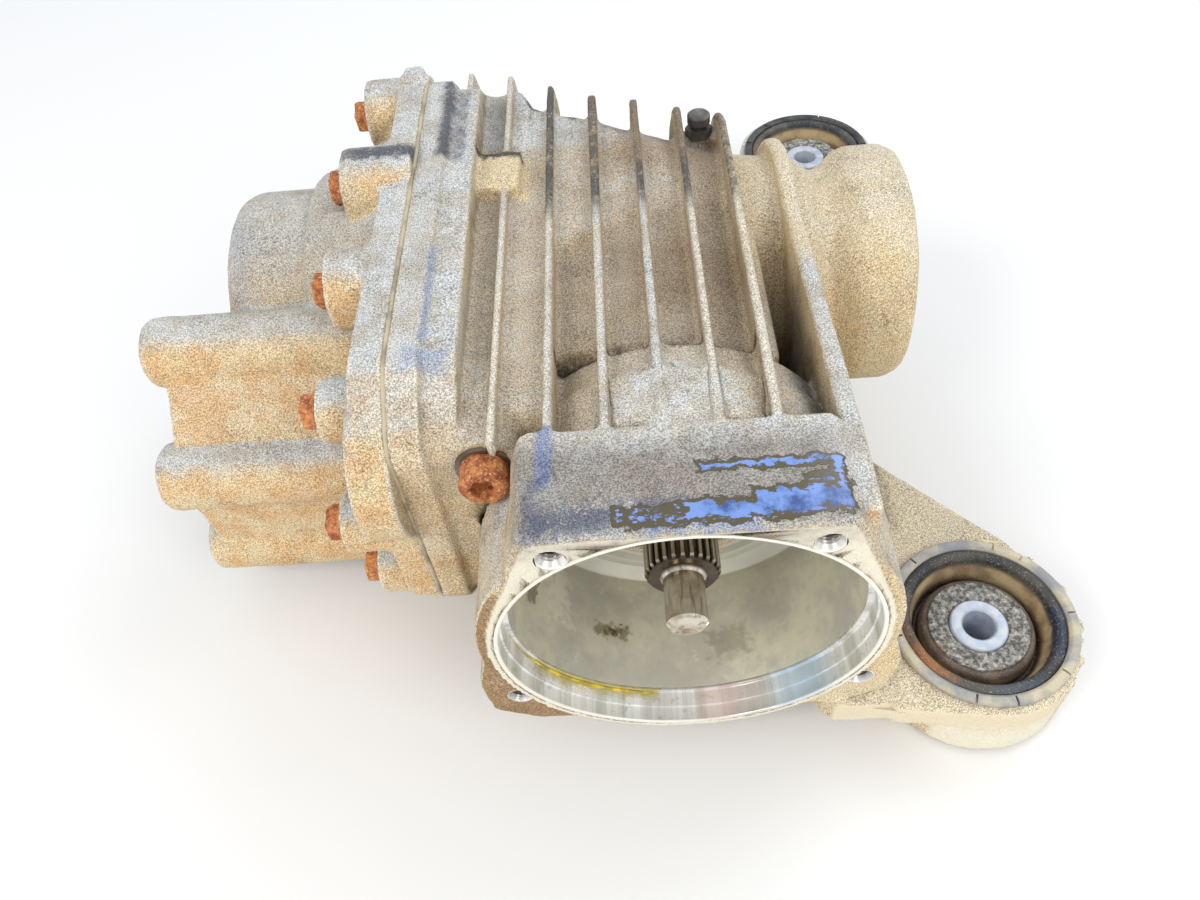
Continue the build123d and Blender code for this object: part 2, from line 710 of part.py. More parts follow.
def make_plate():
    """The thick rib on the right that ties the mouth block to the neck."""
    frame = Plane(origin=(plate_x, 0, 0), x_dir=(0, 1, 0), z_dir=(1, 0, 0))
    reach = sqrt(plate_r ** 2 - 20.0 ** 2)
    low_y = out_y + sqrt(plate_r ** 2 - 30.0 ** 2)
    outline = make_face([
        Polyline((30.0, arm_bottom), (8.0, -60.0), (8.0, 64.0), (block_depth, 64.0), (out_y - 20.0, reach)),
        RadiusArc((out_y - 20.0, reach), (low_y, -30.0), plate_r),
        Polyline((low_y, -30.0), (low_y + 4.0, arm_bottom), (30.0, arm_bottom)),
    ])
    plate = extrude(frame * outline, plate_thickness)
    return chamfer(plate.faces().filter_by(Axis.X).edges(), 1.5)


def make_arm(eye_at, feet):
    """A flat cast arm that runs from feet under the housing to the eye round a bushing."""
    x, y = eye_at
    web = hull_plate([(x, y, eye_r)] + feet, arm_bottom, eye_top)
    return web + rod((x, y, eye_bottom), (0, 0, 1), eye_top - eye_bottom, eye_r)


def make_housing():
    housing = make_block() + make_bell() + make_left_side() + make_plate()
    housing += [make_fin(i) for i in range(len(fin_radii))]
    rib_frame = Plane(origin=(-90.0, out_y - 12.0, bell_top - 8.0))
    rib_align = (Align.MIN, Align.CENTER, Align.MIN)
    housing += rib_frame * Box(34.0, 6.0, block_top - bell_top + 8.0, align=rib_align)
    housing += make_arm(front_eye_at, [(45.0, 115.0, 39.6), (62.0, 12.0, 12.0)])
    housing += make_arm(rear_eye_at, [(52.0, 226.0, 26.0)])
    for at, inward in plug_seats:
        housing += rod(at, inward, plug_boss_length, plug_head_r + 4.0)
    breather_boss = breather_seat_z - breather_base_z
    housing += rod((*breather_at, breather_base_z), (0, 0, 1), breather_boss, breather_r + 3.2)

    housing -= about_pinion([
        (-1.0, 0), (-1.0, mouth_lead_r), (mouth_lead_depth, mouth_lead_r), (mouth_lead_depth, mouth_r),
        (mouth_step_depth, mouth_r),
        (mouth_step_depth, cavity_r), (cavity_depth - 5.0, cavity_end_r), (cavity_depth, cavity_end_r - 4.0),
        (cavity_depth, 53.0), (cavity_depth - 3.0, 52.0), (cavity_depth - 3.0, 48.0), (cavity_depth, 47.0),
        (cavity_depth, 38.0), (spline_end_y, 35.0), (spline_end_y, 0),
    ])
    shim_y = head_bearing_y - pinion_shim_width
    housing -= about_pinion([
        (spline_end_y - 1.0, 0), (spline_end_y - 1.0, tail_bearing[1]), (tail_bearing_end_y, tail_bearing[1]),
        (tail_bearing_end_y, 28.0), (shim_y, 28.0), (shim_y, head_bearing[1]),
        (head_bearing_end_y, head_bearing[1]), (head_bearing_end_y, head_room_r), (out_y, head_room_r),
        (out_y, 0),
    ])
    seal_end = case_bearing_right_x + case_bearing[2] + 24.0
    housing -= about_output([
        (parting_x - 1.0, 0), (parting_x - 1.0, opening_r), (second_band_end_x - 2.0, opening_r),
        (second_band_end_x, bell_inner_r),
        (-25.0, bell_inner_r), (15.0, 50.0), (case_bearing_right_x - 2.0, 44.0),
        (case_bearing_right_x, case_bearing[1]),
        (case_bearing_right_x + case_bearing[2], case_bearing[1]),
        (case_bearing_right_x + case_bearing[2], 34.0), (seal_end - seal_width - 1.0, 34.0),
        (seal_end - seal_width, output_seal_r), (seal_end, output_seal_r), (seal_end, output_seal_r + 4.0),
        (right_rim_x - collar_recess, collar_bore_r), (right_rim_x + 1.0, collar_bore_r),
        (right_rim_x + 1.0, 0),
    ])
    for x, z in (flange_hole_upper, flange_hole_lower):
        for hand in (-1, 1):
            housing -= rod((hand * x, -1.0, z), (0, 1, 0), flange_hole_depth + 1.0, flange_hole_r)
    for x, y in (front_eye_at, rear_eye_at):
        housing -= rod((x, y, eye_bottom - 1.0), (0, 0, 1), eye_top - eye_bottom + 2.0, eye_bore_r)
    for y, z in cover_bolts_yz:
        housing -= rod((parting_x, y, z), (1, 0, 0), cover_bolt_thread + 2.0, bolt_r + fit_gap)
    for y, z in dowels_yz:
        housing -= rod((parting_x, y, z), (1, 0, 0), dowel_length / 2, dowel_r)
    housing -= rod((*breather_at, breather_base_z), (0, 0, 1), 20.0, breather_r)
    for at, inward in plug_seats:
        housing -= rod(at, inward, 12.0, plug_r + fit_gap)
        housing -= Plane(origin=at, z_dir=inward) * Pos(0, 0, -20.0) * Cylinder(
            plug_head_r + 2.4, 20.0, align=ON_BASE)
    return housing


write("main_housing", make_housing())


# Side cover: flange and slab, dome, left collar, bolt bosses and the three long bosses
def make_cover():
    slab = extrude(side_outline(0, cover_face_x), -cover_slab, taper=cover_draft)
    cover = slab + about_output([
        (cover_face_x, 0), (cover_face_x, dome_foot_r), (cover_face_x - cover_slab, dome_foot_r),
        (cover_face_x - cover_slab - 10.0, dome_r + 7.0), (dome_end_x + 10.0, dome_r),
        (dome_end_x + 1.5, dome_end_r), (dome_end_x, dome_end_r - 2.0), (dome_end_x, collar_r),
        (left_rim_x + rim_round, collar_r), (left_rim_x + rim_round * 0.3, collar_r - rim_round * 0.3),
        (left_rim_x, collar_r - rim_round), (left_rim_x, 0),
    ])
    for y, z in cover_bolts_yz:
        boss_r = top_boss_r if z > top_boss_from_z else cover_boss_r
        cover += rod((cover_face_x, y, z), (-1, 0, 0), cover_boss_length, boss_r)
    long_length = cover_face_x - long_boss_end_x
    for y, z in long_bosses_yz:
        boss = rod((cover_face_x, y, z), (-1, 0, 0), long_length, long_boss_r)
        cover += fillet(boss.faces().sort_by(Axis.X)[0].edges(), 4.0)
    (y0, z0), (y1, z1), (y2, z2) = long_bosses_yz
    for ya, za, yb, zb in ((y0, z0, y1, z1), (y1, z1, y2, z2)):
        web = make_hull([e for y, z in ((ya, za), (yb, zb)) for e in (Pos(y, z) * Circle(9.0)).edges()])
        frame = Plane(origin=(cover_face_x, 0, 0), x_dir=(0, 1, 0), z_dir=(1, 0, 0))
        cover += extrude(frame * web, -(long_length - 8.0))
    cover += rod((cover_face_x - lug_width, *lug_at_yz), (1, 0, 0), lug_width, lug_r)
    cover += Pos(parting_x - 8.0, flange_back_y - 16.0, flange_top - 6.0) * Box(9.0, 9.0, 12.0)

    bearing_end = case_bearing_left_x - case_bearing[2] - left_shim_width
    seal_start = left_rim_x + collar_recess
    cover -= about_output([
        (cover_face_x + 1.0, 0), (cover_face_x + 1.0, cover_room_r), (cover_face_x - 3.0, cover_room_r),
        (cover_face_x - 6.0, case_bearing[1]), (bearing_end, case_bearing[1]), (bearing_end, 34.0),
        (seal_start + seal_width + 3.0, 34.0), (seal_start + seal_width, output_seal_r),
        (seal_start, output_seal_r), (seal_start, collar_bore_r), (left_rim_x - 1.0, collar_bore_r),
        (left_rim_x - 1.0, 0),
    ])
    seat_x = cover_face_x - cover_boss_length
    for y, z in cover_bolts_yz:
        cover -= rod((cover_face_x + 1.0, y, z), (-1, 0, 0), cover_boss_length + 2.0, bolt_r + bolt_clearance)
        cover -= rod((seat_x, y, z), (-1, 0, 0), 14.0, bolt_flange_r + run_gap)
    for y, z in dowels_yz:
        cover -= rod((cover_face_x, y, z), (-1, 0, 0), dowel_length / 2, dowel_r)
    for y, z in long_bosses_yz:
        cover -= rod((long_boss_end_x - 1.0, y, z), (1, 0, 0), long_boss_hole_depth + 1.0, long_boss_hole_r)
    return cover


left_shim_width = 1.5
cover_face_x = parting_x - gasket_thickness
cover_room_r = opening_r - 4.0
write("side_cover", make_cover())
write("case_preload_shim", tube(
    (case_bearing_left_x - case_bearing[2] - left_shim_width, out_y, 0), (1, 0, 0), left_shim_width,
    case_bearing[1] - 0.2, 34.5,
))


def make_gasket():
    """The thin seal between flange and cover, with every hole of the flange in it."""
    sheet = extrude(side_outline(gasket_inset, parting_x), -gasket_thickness)
    sheet -= rod((parting_x + 1.0, out_y, 0), (-1, 0, 0), 3.0, opening_r)
    for y, z in cover_bolts_yz:
        sheet -= rod((parting_x + 1.0, y, z), (-1, 0, 0), 3.0, bolt_r + bolt_clearance)
    for y, z in dowels_yz:
        sheet -= rod((parting_x + 1.0, y, z), (-1, 0, 0), 3.0, dowel_r)
    return sheet


write("cover_gasket", make_gasket())
dowel_start_x = cover_face_x - dowel_length / 2 + 0.5
write("cover_dowels", Compound(children=[
    rod((dowel_start_x, y, z), (1, 0, 0), dowel_length + gasket_thickness - 1.0, dowel_r)
    for y, z in dowels_yz
]))
cover_grip = gasket_thickness + cover_boss_length
cover_bolt = hex_bolt(
    cover_grip + cover_bolt_thread, bolt_head_flats, bolt_head_height, bolt_flange_r, bolt_flange_height,
)
write("cover_bolts", Compound(children=[
    Plane(origin=(cover_face_x - cover_boss_length, y, z), z_dir=(-1, 0, 0)) * cover_bolt
    for y, z in cover_bolts_yz
]))


# Output oil seals
right_seal_x = case_bearing_right_x + case_bearing[2] + 24.0
write("right_output_seal", Plane(origin=(right_seal_x, out_y, 0), z_dir=(-1, 0, 0)) * seal_ring(
    output_seal_r, output_spline_r + 3.0, seal_width))
write("left_output_seal", Plane(origin=(left_rim_x + collar_recess, out_y, 0), z_dir=(1, 0, 0)) * seal_ring(
    output_seal_r, output_spline_r + 3.0, seal_width))


# Oil plugs with their washers
def make_plug():
    """Screw plug about +Z with a six-pointed socket in its round head."""
    washer_height = 1.5
    plug = Pos(0, 0, washer_height) * Cylinder(plug_head_r, plug_head_height, align=ON_BASE)
    plug = chamfer(plug.faces().sort_by(Axis.Z)[-1].edges(), 1.0)
    plug += Pos(0, 0, -11.0) * Cylinder(plug_r, 11.0 + washer_height, align=ON_BASE)
    star = [
        (radius * cos(pi * i / 6), radius * sin(pi * i / 6))
        for i in range(12) for radius in ((4.6 if i % 2 == 0 else 3.6),)
    ]
    socket = make_face(Polyline(*star, close=True))
    return plug - Pos(0, 0, washer_height + plug_head_height - 6.0) * extrude(socket, 7.0)


plug_washer = Cylinder(plug_head_r + 1.4, 1.5, align=ON_BASE) - Cylinder(plug_r + 0.1, 1.5, align=ON_BASE)
plug_frames = [Plane(origin=at, z_dir=-Vector(*inward)) for at, inward in plug_seats]
write("fill_plug", plug_frames[0] * make_plug())
write("drain_plug", plug_frames[1] * make_plug())
write("plug_washers", Compound(children=[frame * plug_washer for frame in plug_frames]))


# Breather: a stem pressed into a boss on the bell, a hexagon and a round cap
def make_breather():
    stem = breather_seat_z - breather_base_z
    body = Cylinder(breather_r, stem + 8.0, align=ON_BASE)
    body += Pos(0, 0, stem) * extrude(RegularPolygon(breather_r + 1.6, 6, major_radius=False), 3.5)
    cap = Cylinder(breather_r + 1.4, 4.5, align=ON_BASE)
    body += Pos(0, 0, stem + 5.5) * chamfer(cap.edges().filter_by(GeomType.CIRCLE), 0.6)
    return body


write("breather", Pos(*breather_at, breather_base_z) * make_breather())


# Rubber bushings
def write_bushing(name, at):
    """Outer sleeve with a split collar, rubber with a deep groove, inner core with its disc."""
    x, y = at
    place = Pos(x, y, 0)
    plane = Plane(origin=(0, 0, 0), x_dir=(0, 0, 1), z_dir=(0, -1, 0))
    sleeve_r = eye_bore_r - sleeve_wall
    sleeve = turned([
        (eye_bottom + 2.0, sleeve_r), (eye_bottom + 2.0, eye_bore_r), (eye_top, eye_bore_r),
        (eye_top, sleeve_collar_r), (eye_top + sleeve_collar_height, sleeve_collar_r),
        (eye_top + sleeve_collar_height, sleeve_r),
    ], plane, Axis.Z)
    notches = PolarLocations(sleeve_collar_r, 10) * Box(4.0, 1.6, 3 * sleeve_collar_height)
    sleeve -= Pos(0, 0, eye_top + sleeve_collar_height) * Compound(children=list(notches))
    rubber_top = eye_top + 1.5
    disc_top = eye_top - 4.0
    rubber = turned([
        (eye_bottom + 6.0, core_r), (eye_bottom + 3.0, core_disc_r), (eye_bottom + 4.0, sleeve_r),
        (rubber_top - 1.0, sleeve_r), (rubber_top, sleeve_r - 1.0), (rubber_top, groove_r + 1.5),
        (disc_top - 1.0, groove_r), (disc_top - 5.0, groove_r - 1.5), (disc_top - 5.0, core_disc_r + 0.5),
        (disc_top, core_disc_r - 0.5), (disc_top, core_r),
    ], plane, Axis.Z)
    core = turned([
        (eye_bottom - 1.5, core_bore_r), (eye_bottom - 1.5, core_r), (disc_top + 0.5, core_r),
        (disc_top + 0.5, core_bore_r),
    ], plane, Axis.Z)
    write(name + "_sleeve", place * sleeve)
    write(name + "_rubber", place * rubber)
    write(name + "_core", place * core)


write_bushing("front_bushing", front_eye_at)
write_bushing("rear_bushing", rear_eye_at)
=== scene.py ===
# %% [markdown]
# # A used rear differential, dressed for its portrait
# The real object is a sand-cast aluminium final drive that has lived under a car: dusty metal with rusty
# bolts, a wiped-clean machined mouth, a smear of oil and two rubber bushings. Its colour also carries
# painted light: warm painted sunlight where it faces forward, pale grey painted sky light where it faces
# the sky, painted shade underneath and in the hollows, and a painted blue reflection of the sky on the oil.
# The imported solids give every size. This lesson gives them cast edges, grain, dirt, oil and rust.

# %% Load the imported part
import json
import math
import random

import bmesh
import bpy
from mathutils import Matrix, Vector


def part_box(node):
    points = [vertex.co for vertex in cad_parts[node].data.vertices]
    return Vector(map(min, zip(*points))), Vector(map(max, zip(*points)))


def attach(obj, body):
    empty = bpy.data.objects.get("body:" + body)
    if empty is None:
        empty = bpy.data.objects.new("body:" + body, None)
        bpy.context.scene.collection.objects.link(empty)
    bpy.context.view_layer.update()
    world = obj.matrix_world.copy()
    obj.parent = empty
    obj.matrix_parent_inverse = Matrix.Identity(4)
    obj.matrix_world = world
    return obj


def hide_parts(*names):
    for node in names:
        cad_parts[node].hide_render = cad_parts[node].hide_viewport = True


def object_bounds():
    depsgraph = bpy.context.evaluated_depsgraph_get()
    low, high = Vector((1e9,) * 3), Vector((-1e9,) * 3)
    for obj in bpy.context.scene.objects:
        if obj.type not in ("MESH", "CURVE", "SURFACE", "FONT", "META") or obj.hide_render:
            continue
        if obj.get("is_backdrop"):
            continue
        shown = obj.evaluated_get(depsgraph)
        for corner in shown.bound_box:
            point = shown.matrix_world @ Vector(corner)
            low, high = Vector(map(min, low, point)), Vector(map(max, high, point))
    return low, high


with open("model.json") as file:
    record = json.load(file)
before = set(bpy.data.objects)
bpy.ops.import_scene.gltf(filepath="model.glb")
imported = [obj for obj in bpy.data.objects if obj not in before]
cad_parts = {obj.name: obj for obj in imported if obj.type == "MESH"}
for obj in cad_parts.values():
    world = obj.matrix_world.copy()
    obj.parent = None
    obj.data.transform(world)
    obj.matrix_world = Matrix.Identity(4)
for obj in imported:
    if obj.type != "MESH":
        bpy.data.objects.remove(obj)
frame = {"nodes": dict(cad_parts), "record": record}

cad_low, cad_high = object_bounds()
nodes = frame["nodes"]
print("solids in the frame:", len(nodes))

# %% [markdown]
# ## Small helpers for modelling
# Operators act on whatever is selected, so each step first clears the selection. Sizes are written in
# millimetres, as on a drawing, and turned to metres when a piece is made. A finished piece keeps its
# object at the origin and its place in its mesh, so that patterns on Object coordinates stay put.

# %% Selection, modifiers and placing
MM = 0.001


def alone(piece):
    """Select one object and nothing else."""
    bpy.ops.object.select_all(action="DESELECT")
    piece.select_set(True)
    bpy.context.view_layer.objects.active = piece
    return piece


def apply_all(piece):
    """Apply every modifier in order."""
    alone(piece)
    for name in [m.name for m in piece.modifiers]:
        bpy.ops.object.modifier_apply(modifier=name)
    return piece


def baked(piece):
    """Write a piece's present place, turn and size into its mesh."""
    alone(piece)
    bpy.ops.object.transform_apply(location=True, rotation=True, scale=True)
    return piece


def settle(piece, at=(0, 0, 0), turn=(0, 0, 0)):
    """Turn and move a piece, in degrees and millimetres, and write its place into its mesh."""
    piece.rotation_euler = [math.radians(v) for v in turn]
    piece.location = [v * MM for v in at]
    return baked(piece)


def joined(pieces, name):
    """One object from several."""
    alone(pieces[0])
    for piece in pieces:
        piece.select_set(True)
    bpy.ops.object.join()
    pieces[0].name = name
    return pieces[0]


def own_copy(node, name):
    """A copy of a solid's mesh with its doubles merged, free to be shaped."""
    piece = bpy.data.objects.new(name, nodes[node].data.copy())
    bpy.context.collection.objects.link(piece)
    piece.data.materials.clear()
    alone(piece)
    bpy.ops.object.mode_set(mode="EDIT")
    bpy.ops.mesh.select_all(action="SELECT")
    bpy.ops.mesh.remove_doubles(threshold=0.00001)
    bpy.ops.object.mode_set(mode="OBJECT")
    return piece


def dress(piece, material, body="housing", replaces=()):
    """Give a finished piece its material, hide the solids it replaces and attach it to the body it rides on.
    """
    piece.data.materials.clear()
    piece.data.materials.append(material)
    if replaces:
        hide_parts(*replaces)
    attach(piece, body)
    print(piece.name, len(piece.data.polygons), "faces")
    return piece


# %% [markdown]
# ## Turning on a lathe
# Many pieces here are round: seat rings, washers, bolt flanges, bushings. On a lathe such a piece follows
# a profile. Here one ring of points is extruded from step to step and scaled to each radius, and the last
# ring is bridged to the first, which closes the section. A small bevel then breaks the sharp edges.

# %% Turn a profile about Z
BEVEL_ABOVE = math.radians(28)
SMOOTH_BELOW = math.radians(35)


def turned(name, profile, sides=96, ring=True, edge=0.25):
    """Turn (along, radius) steps in millimetres about Z; a ring closes on itself, a bar gets flat ends."""
    along, radius = profile[0]
    bpy.ops.object.select_all(action="DESELECT")
    bpy.ops.mesh.primitive_circle_add(
        vertices=sides, radius=radius * MM, location=(0, 0, along * MM),
        fill_type="NOTHING" if ring else "NGON",
    )
    piece = bpy.context.active_object
    piece.name = name
    bpy.ops.object.transform_apply(location=True, rotation=True, scale=True)
    bpy.ops.object.mode_set(mode="EDIT")
    bpy.ops.mesh.select_all(action="SELECT")
    for next_along, next_radius in profile[1:]:
        bpy.ops.mesh.extrude_region_move(
            TRANSFORM_OT_translate={"value": (0, 0, (next_along - along) * MM)},
        )
        share = next_radius / radius
        bpy.ops.transform.resize(value=(share, share, 1), center_override=(0, 0, next_along * MM))
        along, radius = next_along, next_radius
    if ring:
        bpy.ops.mesh.select_mode(type="EDGE")
        bpy.ops.mesh.select_all(action="DESELECT")
        bpy.ops.mesh.select_non_manifold()
        bpy.ops.mesh.bridge_edge_loops()
    bpy.ops.mesh.select_all(action="SELECT")
    bpy.ops.mesh.normals_make_consistent(inside=False)
    bpy.ops.object.mode_set(mode="OBJECT")
    if edge:
        bevel = piece.modifiers.new("broken_edge", "BEVEL")
        bevel.width = edge * MM
        bevel.segments = 2
        bevel.limit_method = "ANGLE"
        bevel.angle_limit = BEVEL_ABOVE
        apply_all(piece)
    alone(piece)
    bpy.ops.object.shade_smooth_by_angle(angle=SMOOTH_BELOW)
    return piece


# %% [markdown]
# ## Lumps and holes
# Rust and sand casting are both a lumpy skin. A voxel remesh gives an even skin of small faces, and a
# Displace modifier with a cloud texture pushes it in and out. A decimation then drops the faces that flat
# stretches don't need. What has to stay crisp, such as a socket or a split, is cut by a boolean.

# %% Even skin, clouds and cuts
def even_skin(piece, voxel, ease):
    """Rebuild a piece from even faces, voxel millimetres wide, and smooth it ease times."""
    skin = piece.modifiers.new("skin", "REMESH")
    skin.mode = "VOXEL"
    skin.voxel_size = voxel * MM
    skin.use_smooth_shade = True
    if ease:
        soften = piece.modifiers.new("ease", "SMOOTH")
        soften.factor = 0.5
        soften.iterations = ease
    return apply_all(piece)


def clouded(piece, clouds, group=""):
    """Push a skin by cloud textures. clouds: (label, size in mm, height in mm, middle)."""
    for label, size, height, middle in clouds:
        texture = bpy.data.textures.new(piece.name + "_" + label, "CLOUDS")
        texture.noise_scale = size * MM
        texture.noise_depth = 2
        push = piece.modifiers.new(label, "DISPLACE")
        push.texture = texture
        push.texture_coords = "LOCAL"
        push.strength = height * MM
        push.mid_level = middle
        push.vertex_group = group
    return apply_all(piece)


def thinned(piece, most):
    """Bring a mesh down to about a number of triangles."""
    triangles = sum(len(p.vertices) - 2 for p in piece.data.polygons)
    if triangles > most:
        thin = piece.modifiers.new("thin", "DECIMATE")
        thin.ratio = most / triangles
        apply_all(piece)
    piece.data.polygons.foreach_set("use_smooth", [True] * len(piece.data.polygons))
    return piece


def cut_away(piece, tool):
    """Cut one piece with another, which is then thrown away."""
    cut = piece.modifiers.new("cut", "BOOLEAN")
    cut.operation = "DIFFERENCE"
    cut.solver = "EXACT"
    cut.object = tool
    apply_all(piece)
    bpy.data.objects.remove(tool)
    return piece


# %% [markdown]
# ## Colours
# Paint is picked as screen values from 0 to 255. Shaders want linear light, so each one is turned.

# %% Colour helper
def paint(red, green, blue):
    """A linear colour from screen values, by the curve of a common screen."""
    linear = []
    for value in (red, green, blue):
        v = value / 255
        linear.append(v / 12.92 if v <= 0.04045 else ((v + 0.055) / 1.055) ** 2.4)
    return (*linear, 1.0)


# %% [markdown]
# ## Shader building blocks
# A material is a tree of nodes. These short functions place one node each and link it, so that a finish
# can be written as a few readable lines.

# %% Node functions
def socket_in(tree, socket, value):
    """Link an output to a socket, or set the socket's own value."""
    if isinstance(value, bpy.types.NodeSocket):
        tree.links.new(value, socket)
    elif value is not None:
        socket.default_value = value


def math_node(tree, operation, a, b=None, c=None, clamp=False):
    """One step of arithmetic on values."""
    node = tree.nodes.new("ShaderNodeMath")
    node.operation = operation
    node.use_clamp = clamp
    for i, value in enumerate((a, b, c)):
        socket_in(tree, node.inputs[i], value)
    return node.outputs[0]


def times(tree, a, b):
    """Two values multiplied, which for masks means both at once."""
    return math_node(tree, "MULTIPLY", a, b)


def flipped(tree, a):
    """One minus a value: a mask turned over."""
    return math_node(tree, "SUBTRACT", 1.0, a)


def mix_colour(tree, factor, a, b, blend="MIX"):
    """Colour a where factor is 0 and colour b where it is 1."""
    node = tree.nodes.new("ShaderNodeMix")
    node.data_type = "RGBA"
    node.blend_type = blend
    node.clamp_result = True
    socket_in(tree, node.inputs["Factor"], factor)
    socket_in(tree, node.inputs[6], a)
    socket_in(tree, node.inputs[7], b)
    return node.outputs[2]


def vector_node(tree, operation, a, b=None):
    """One step of arithmetic on places or directions."""
    node = tree.nodes.new("ShaderNodeVectorMath")
    node.operation = operation
    socket_in(tree, node.inputs[0], a)
    socket_in(tree, node.inputs[1], b)
    return node.outputs["Value"] if operation == "LENGTH" else node.outputs[0]


def split_xyz(tree, vector):
    """The three parts of a place or a direction."""
    node = tree.nodes.new("ShaderNodeSeparateXYZ")
    tree.links.new(vector, node.inputs[0])
    return node.outputs


def noise(tree, place, scale, detail=3.0, rough=0.55):
    """Soft random spots, mostly between 0.3 and 0.7."""
    node = tree.nodes.new("ShaderNodeTexNoise")
    socket_in(tree, node.inputs["Vector"], place)
    socket_in(tree, node.inputs["Scale"], scale)
    node.inputs["Detail"].default_value = detail
    node.inputs["Roughness"].default_value = rough
    return node.outputs["Fac"]


def band(tree, value, low, high, bottom=0.0, top=1.0):
    """Bottom below low, top above high, smooth between."""
    node = tree.nodes.new("ShaderNodeMapRange")
    node.interpolation_type = "SMOOTHSTEP"
    socket_in(tree, node.inputs["Value"], value)
    for label, given in (("From Min", low), ("From Max", high), ("To Min", bottom), ("To Max", top)):
        socket_in(tree, node.inputs[label], given)
    return node.outputs["Result"]


def new_material(name):
    """A material with only a Principled shader; returns it with its tree and shader."""
    material = bpy.data.materials.new(name)
    material.use_nodes = True
    tree = material.node_tree
    return material, tree, tree.nodes["Principled BSDF"]


def object_place(tree):
    """The place of a surface point in the part's own coordinates, in metres."""
    return tree.nodes.new("ShaderNodeTexCoord").outputs["Object"]


def bump(tree, height, distance, strength=1.0):
    """A height in metres turned into a leaning normal."""
    node = tree.nodes.new("ShaderNodeBump")
    tree.links.new(height, node.inputs["Height"])
    node.inputs["Distance"].default_value = distance
    node.inputs["Strength"].default_value = strength
    return node.outputs["Normal"]


# %% [markdown]
# ## Shared effects as node groups
# Stains, grain and speckle turn up on many finishes. Each is built once as a group with named sockets.

# %% Group helper
def new_group(name, inputs, outputs):
    """An empty shader group; returns its tree, the values it is given and the sockets it puts out."""
    tree = bpy.data.node_groups.new(name, "ShaderNodeTree")
    for label, kind, value in inputs:
        item = tree.interface.new_socket(label, in_out="INPUT", socket_type=kind)
        if value is not None:
            item.default_value = value
    for label, kind in outputs:
        tree.interface.new_socket(label, in_out="OUTPUT", socket_type=kind)
    return tree, tree.nodes.new("NodeGroupInput").outputs, tree.nodes.new("NodeGroupOutput").inputs


def use_group(tree, group, **values):
    """Place a group in a material; spaces in socket names are written as underscores."""
    node = tree.nodes.new("ShaderNodeGroup")
    node.node_tree = group
    for key, value in values.items():
        socket_in(tree, node.inputs[key.replace("_", " ")], value)
    return node.outputs


# %% Soft box: a stain that fills a box in the part's own coordinates, with a ragged edge
NOISE_REACH = 4.0


def build_soft_box():
    """A mask of 1 inside the box; noise, which seldom leaves its middle, is widened by NOISE_REACH."""
    tree, given, out = new_group("soft_box", [
        ("Place", "NodeSocketVector", None), ("Middle", "NodeSocketVector", (0, 0, 0)),
        ("Half", "NodeSocketVector", (0.01, 0.01, 0.01)), ("Soft", "NodeSocketFloat", 0.002),
        ("Ragged", "NodeSocketFloat", 0.001), ("Ragged Scale", "NodeSocketFloat", 300.0),
    ], [("Mask", "NodeSocketFloat")])
    wobble = noise(tree, given["Place"], given["Ragged Scale"])
    size = vector_node(tree, "ABSOLUTE", vector_node(tree, "SUBTRACT", given["Place"], given["Middle"]))
    over = split_xyz(tree, vector_node(tree, "SUBTRACT", size, given["Half"]))
    most = math_node(tree, "MAXIMUM", math_node(tree, "MAXIMUM", over[0], over[1]), over[2])
    shake = times(tree, math_node(tree, "SUBTRACT", wobble, 0.5), given["Ragged"])
    most = math_node(tree, "MULTIPLY_ADD", shake, NOISE_REACH, most)
    far = math_node(tree, "DIVIDE", most, given["Soft"])
    tree.links.new(math_node(tree, "SUBTRACT", 0.5, far, clamp=True), out["Mask"])
    return tree


soft_box = build_soft_box()
print("group", soft_box.name)


# %% Grain: sand-cast sparkle as a brightness, with dark pits, pale grains and a height
def build_grain():
    """A coarse and a fine noise; a broad one, times Amount, gathers the pits and grains in patches."""
    tree, given, out = new_group("sand_grain", [
        ("Place", "NodeSocketVector", None), ("Scale", "NodeSocketFloat", 620.0),
        ("Amount", "NodeSocketFloat", 0.5),
    ], [(label, "NodeSocketFloat") for label in ("Bright", "Pits", "Grains", "Height")])
    coarse = noise(tree, given["Place"], given["Scale"], 4.0, 0.7)
    fine = noise(tree, given["Place"], times(tree, given["Scale"], 1.9), 2.0, 0.6)
    broad = noise(tree, given["Place"], 55.0, 4.0, 0.65)
    push = math_node(tree, "SUBTRACT", broad, 0.5)
    mixed = math_node(tree, "MULTIPLY_ADD", push, given["Amount"], coarse)
    tree.links.new(band(tree, fine, 0.36, 0.64, 0.46, 1.40), out["Bright"])
    tree.links.new(band(tree, mixed, 0.585, 0.69), out["Pits"])
    tree.links.new(band(tree, flipped(tree, mixed), 0.59, 0.70), out["Grains"])
    tree.links.new(math_node(tree, "MULTIPLY_ADD", fine, 0.6, mixed), out["Height"])
    return tree


sand_grain = build_grain()
print("group", sand_grain.name)


# %% Stains: a list of soft boxes painted one over another
DRY_ROUGH = 0.75


def stained(tree, place, colour, rough, stains):
    """Paint stains over a colour. Each is a tuple, in millimetres: the box's middle and half size, how
    soft and how ragged its edge is, then its colour, its roughness and its strength."""
    for middle, half, soft, ragged, tint, shine, strength in stains:
        mask = use_group(
            tree, soft_box, Place=place, Middle=[v * MM for v in middle], Half=[v * MM for v in half],
            Soft=soft * MM, Ragged=ragged * MM,
        )["Mask"]
        mask = times(tree, mask, strength)
        colour = mix_colour(tree, mask, colour, tint)
        rough = math_node(tree, "MULTIPLY_ADD", mask, shine - DRY_ROUGH, rough)
    return colour, rough
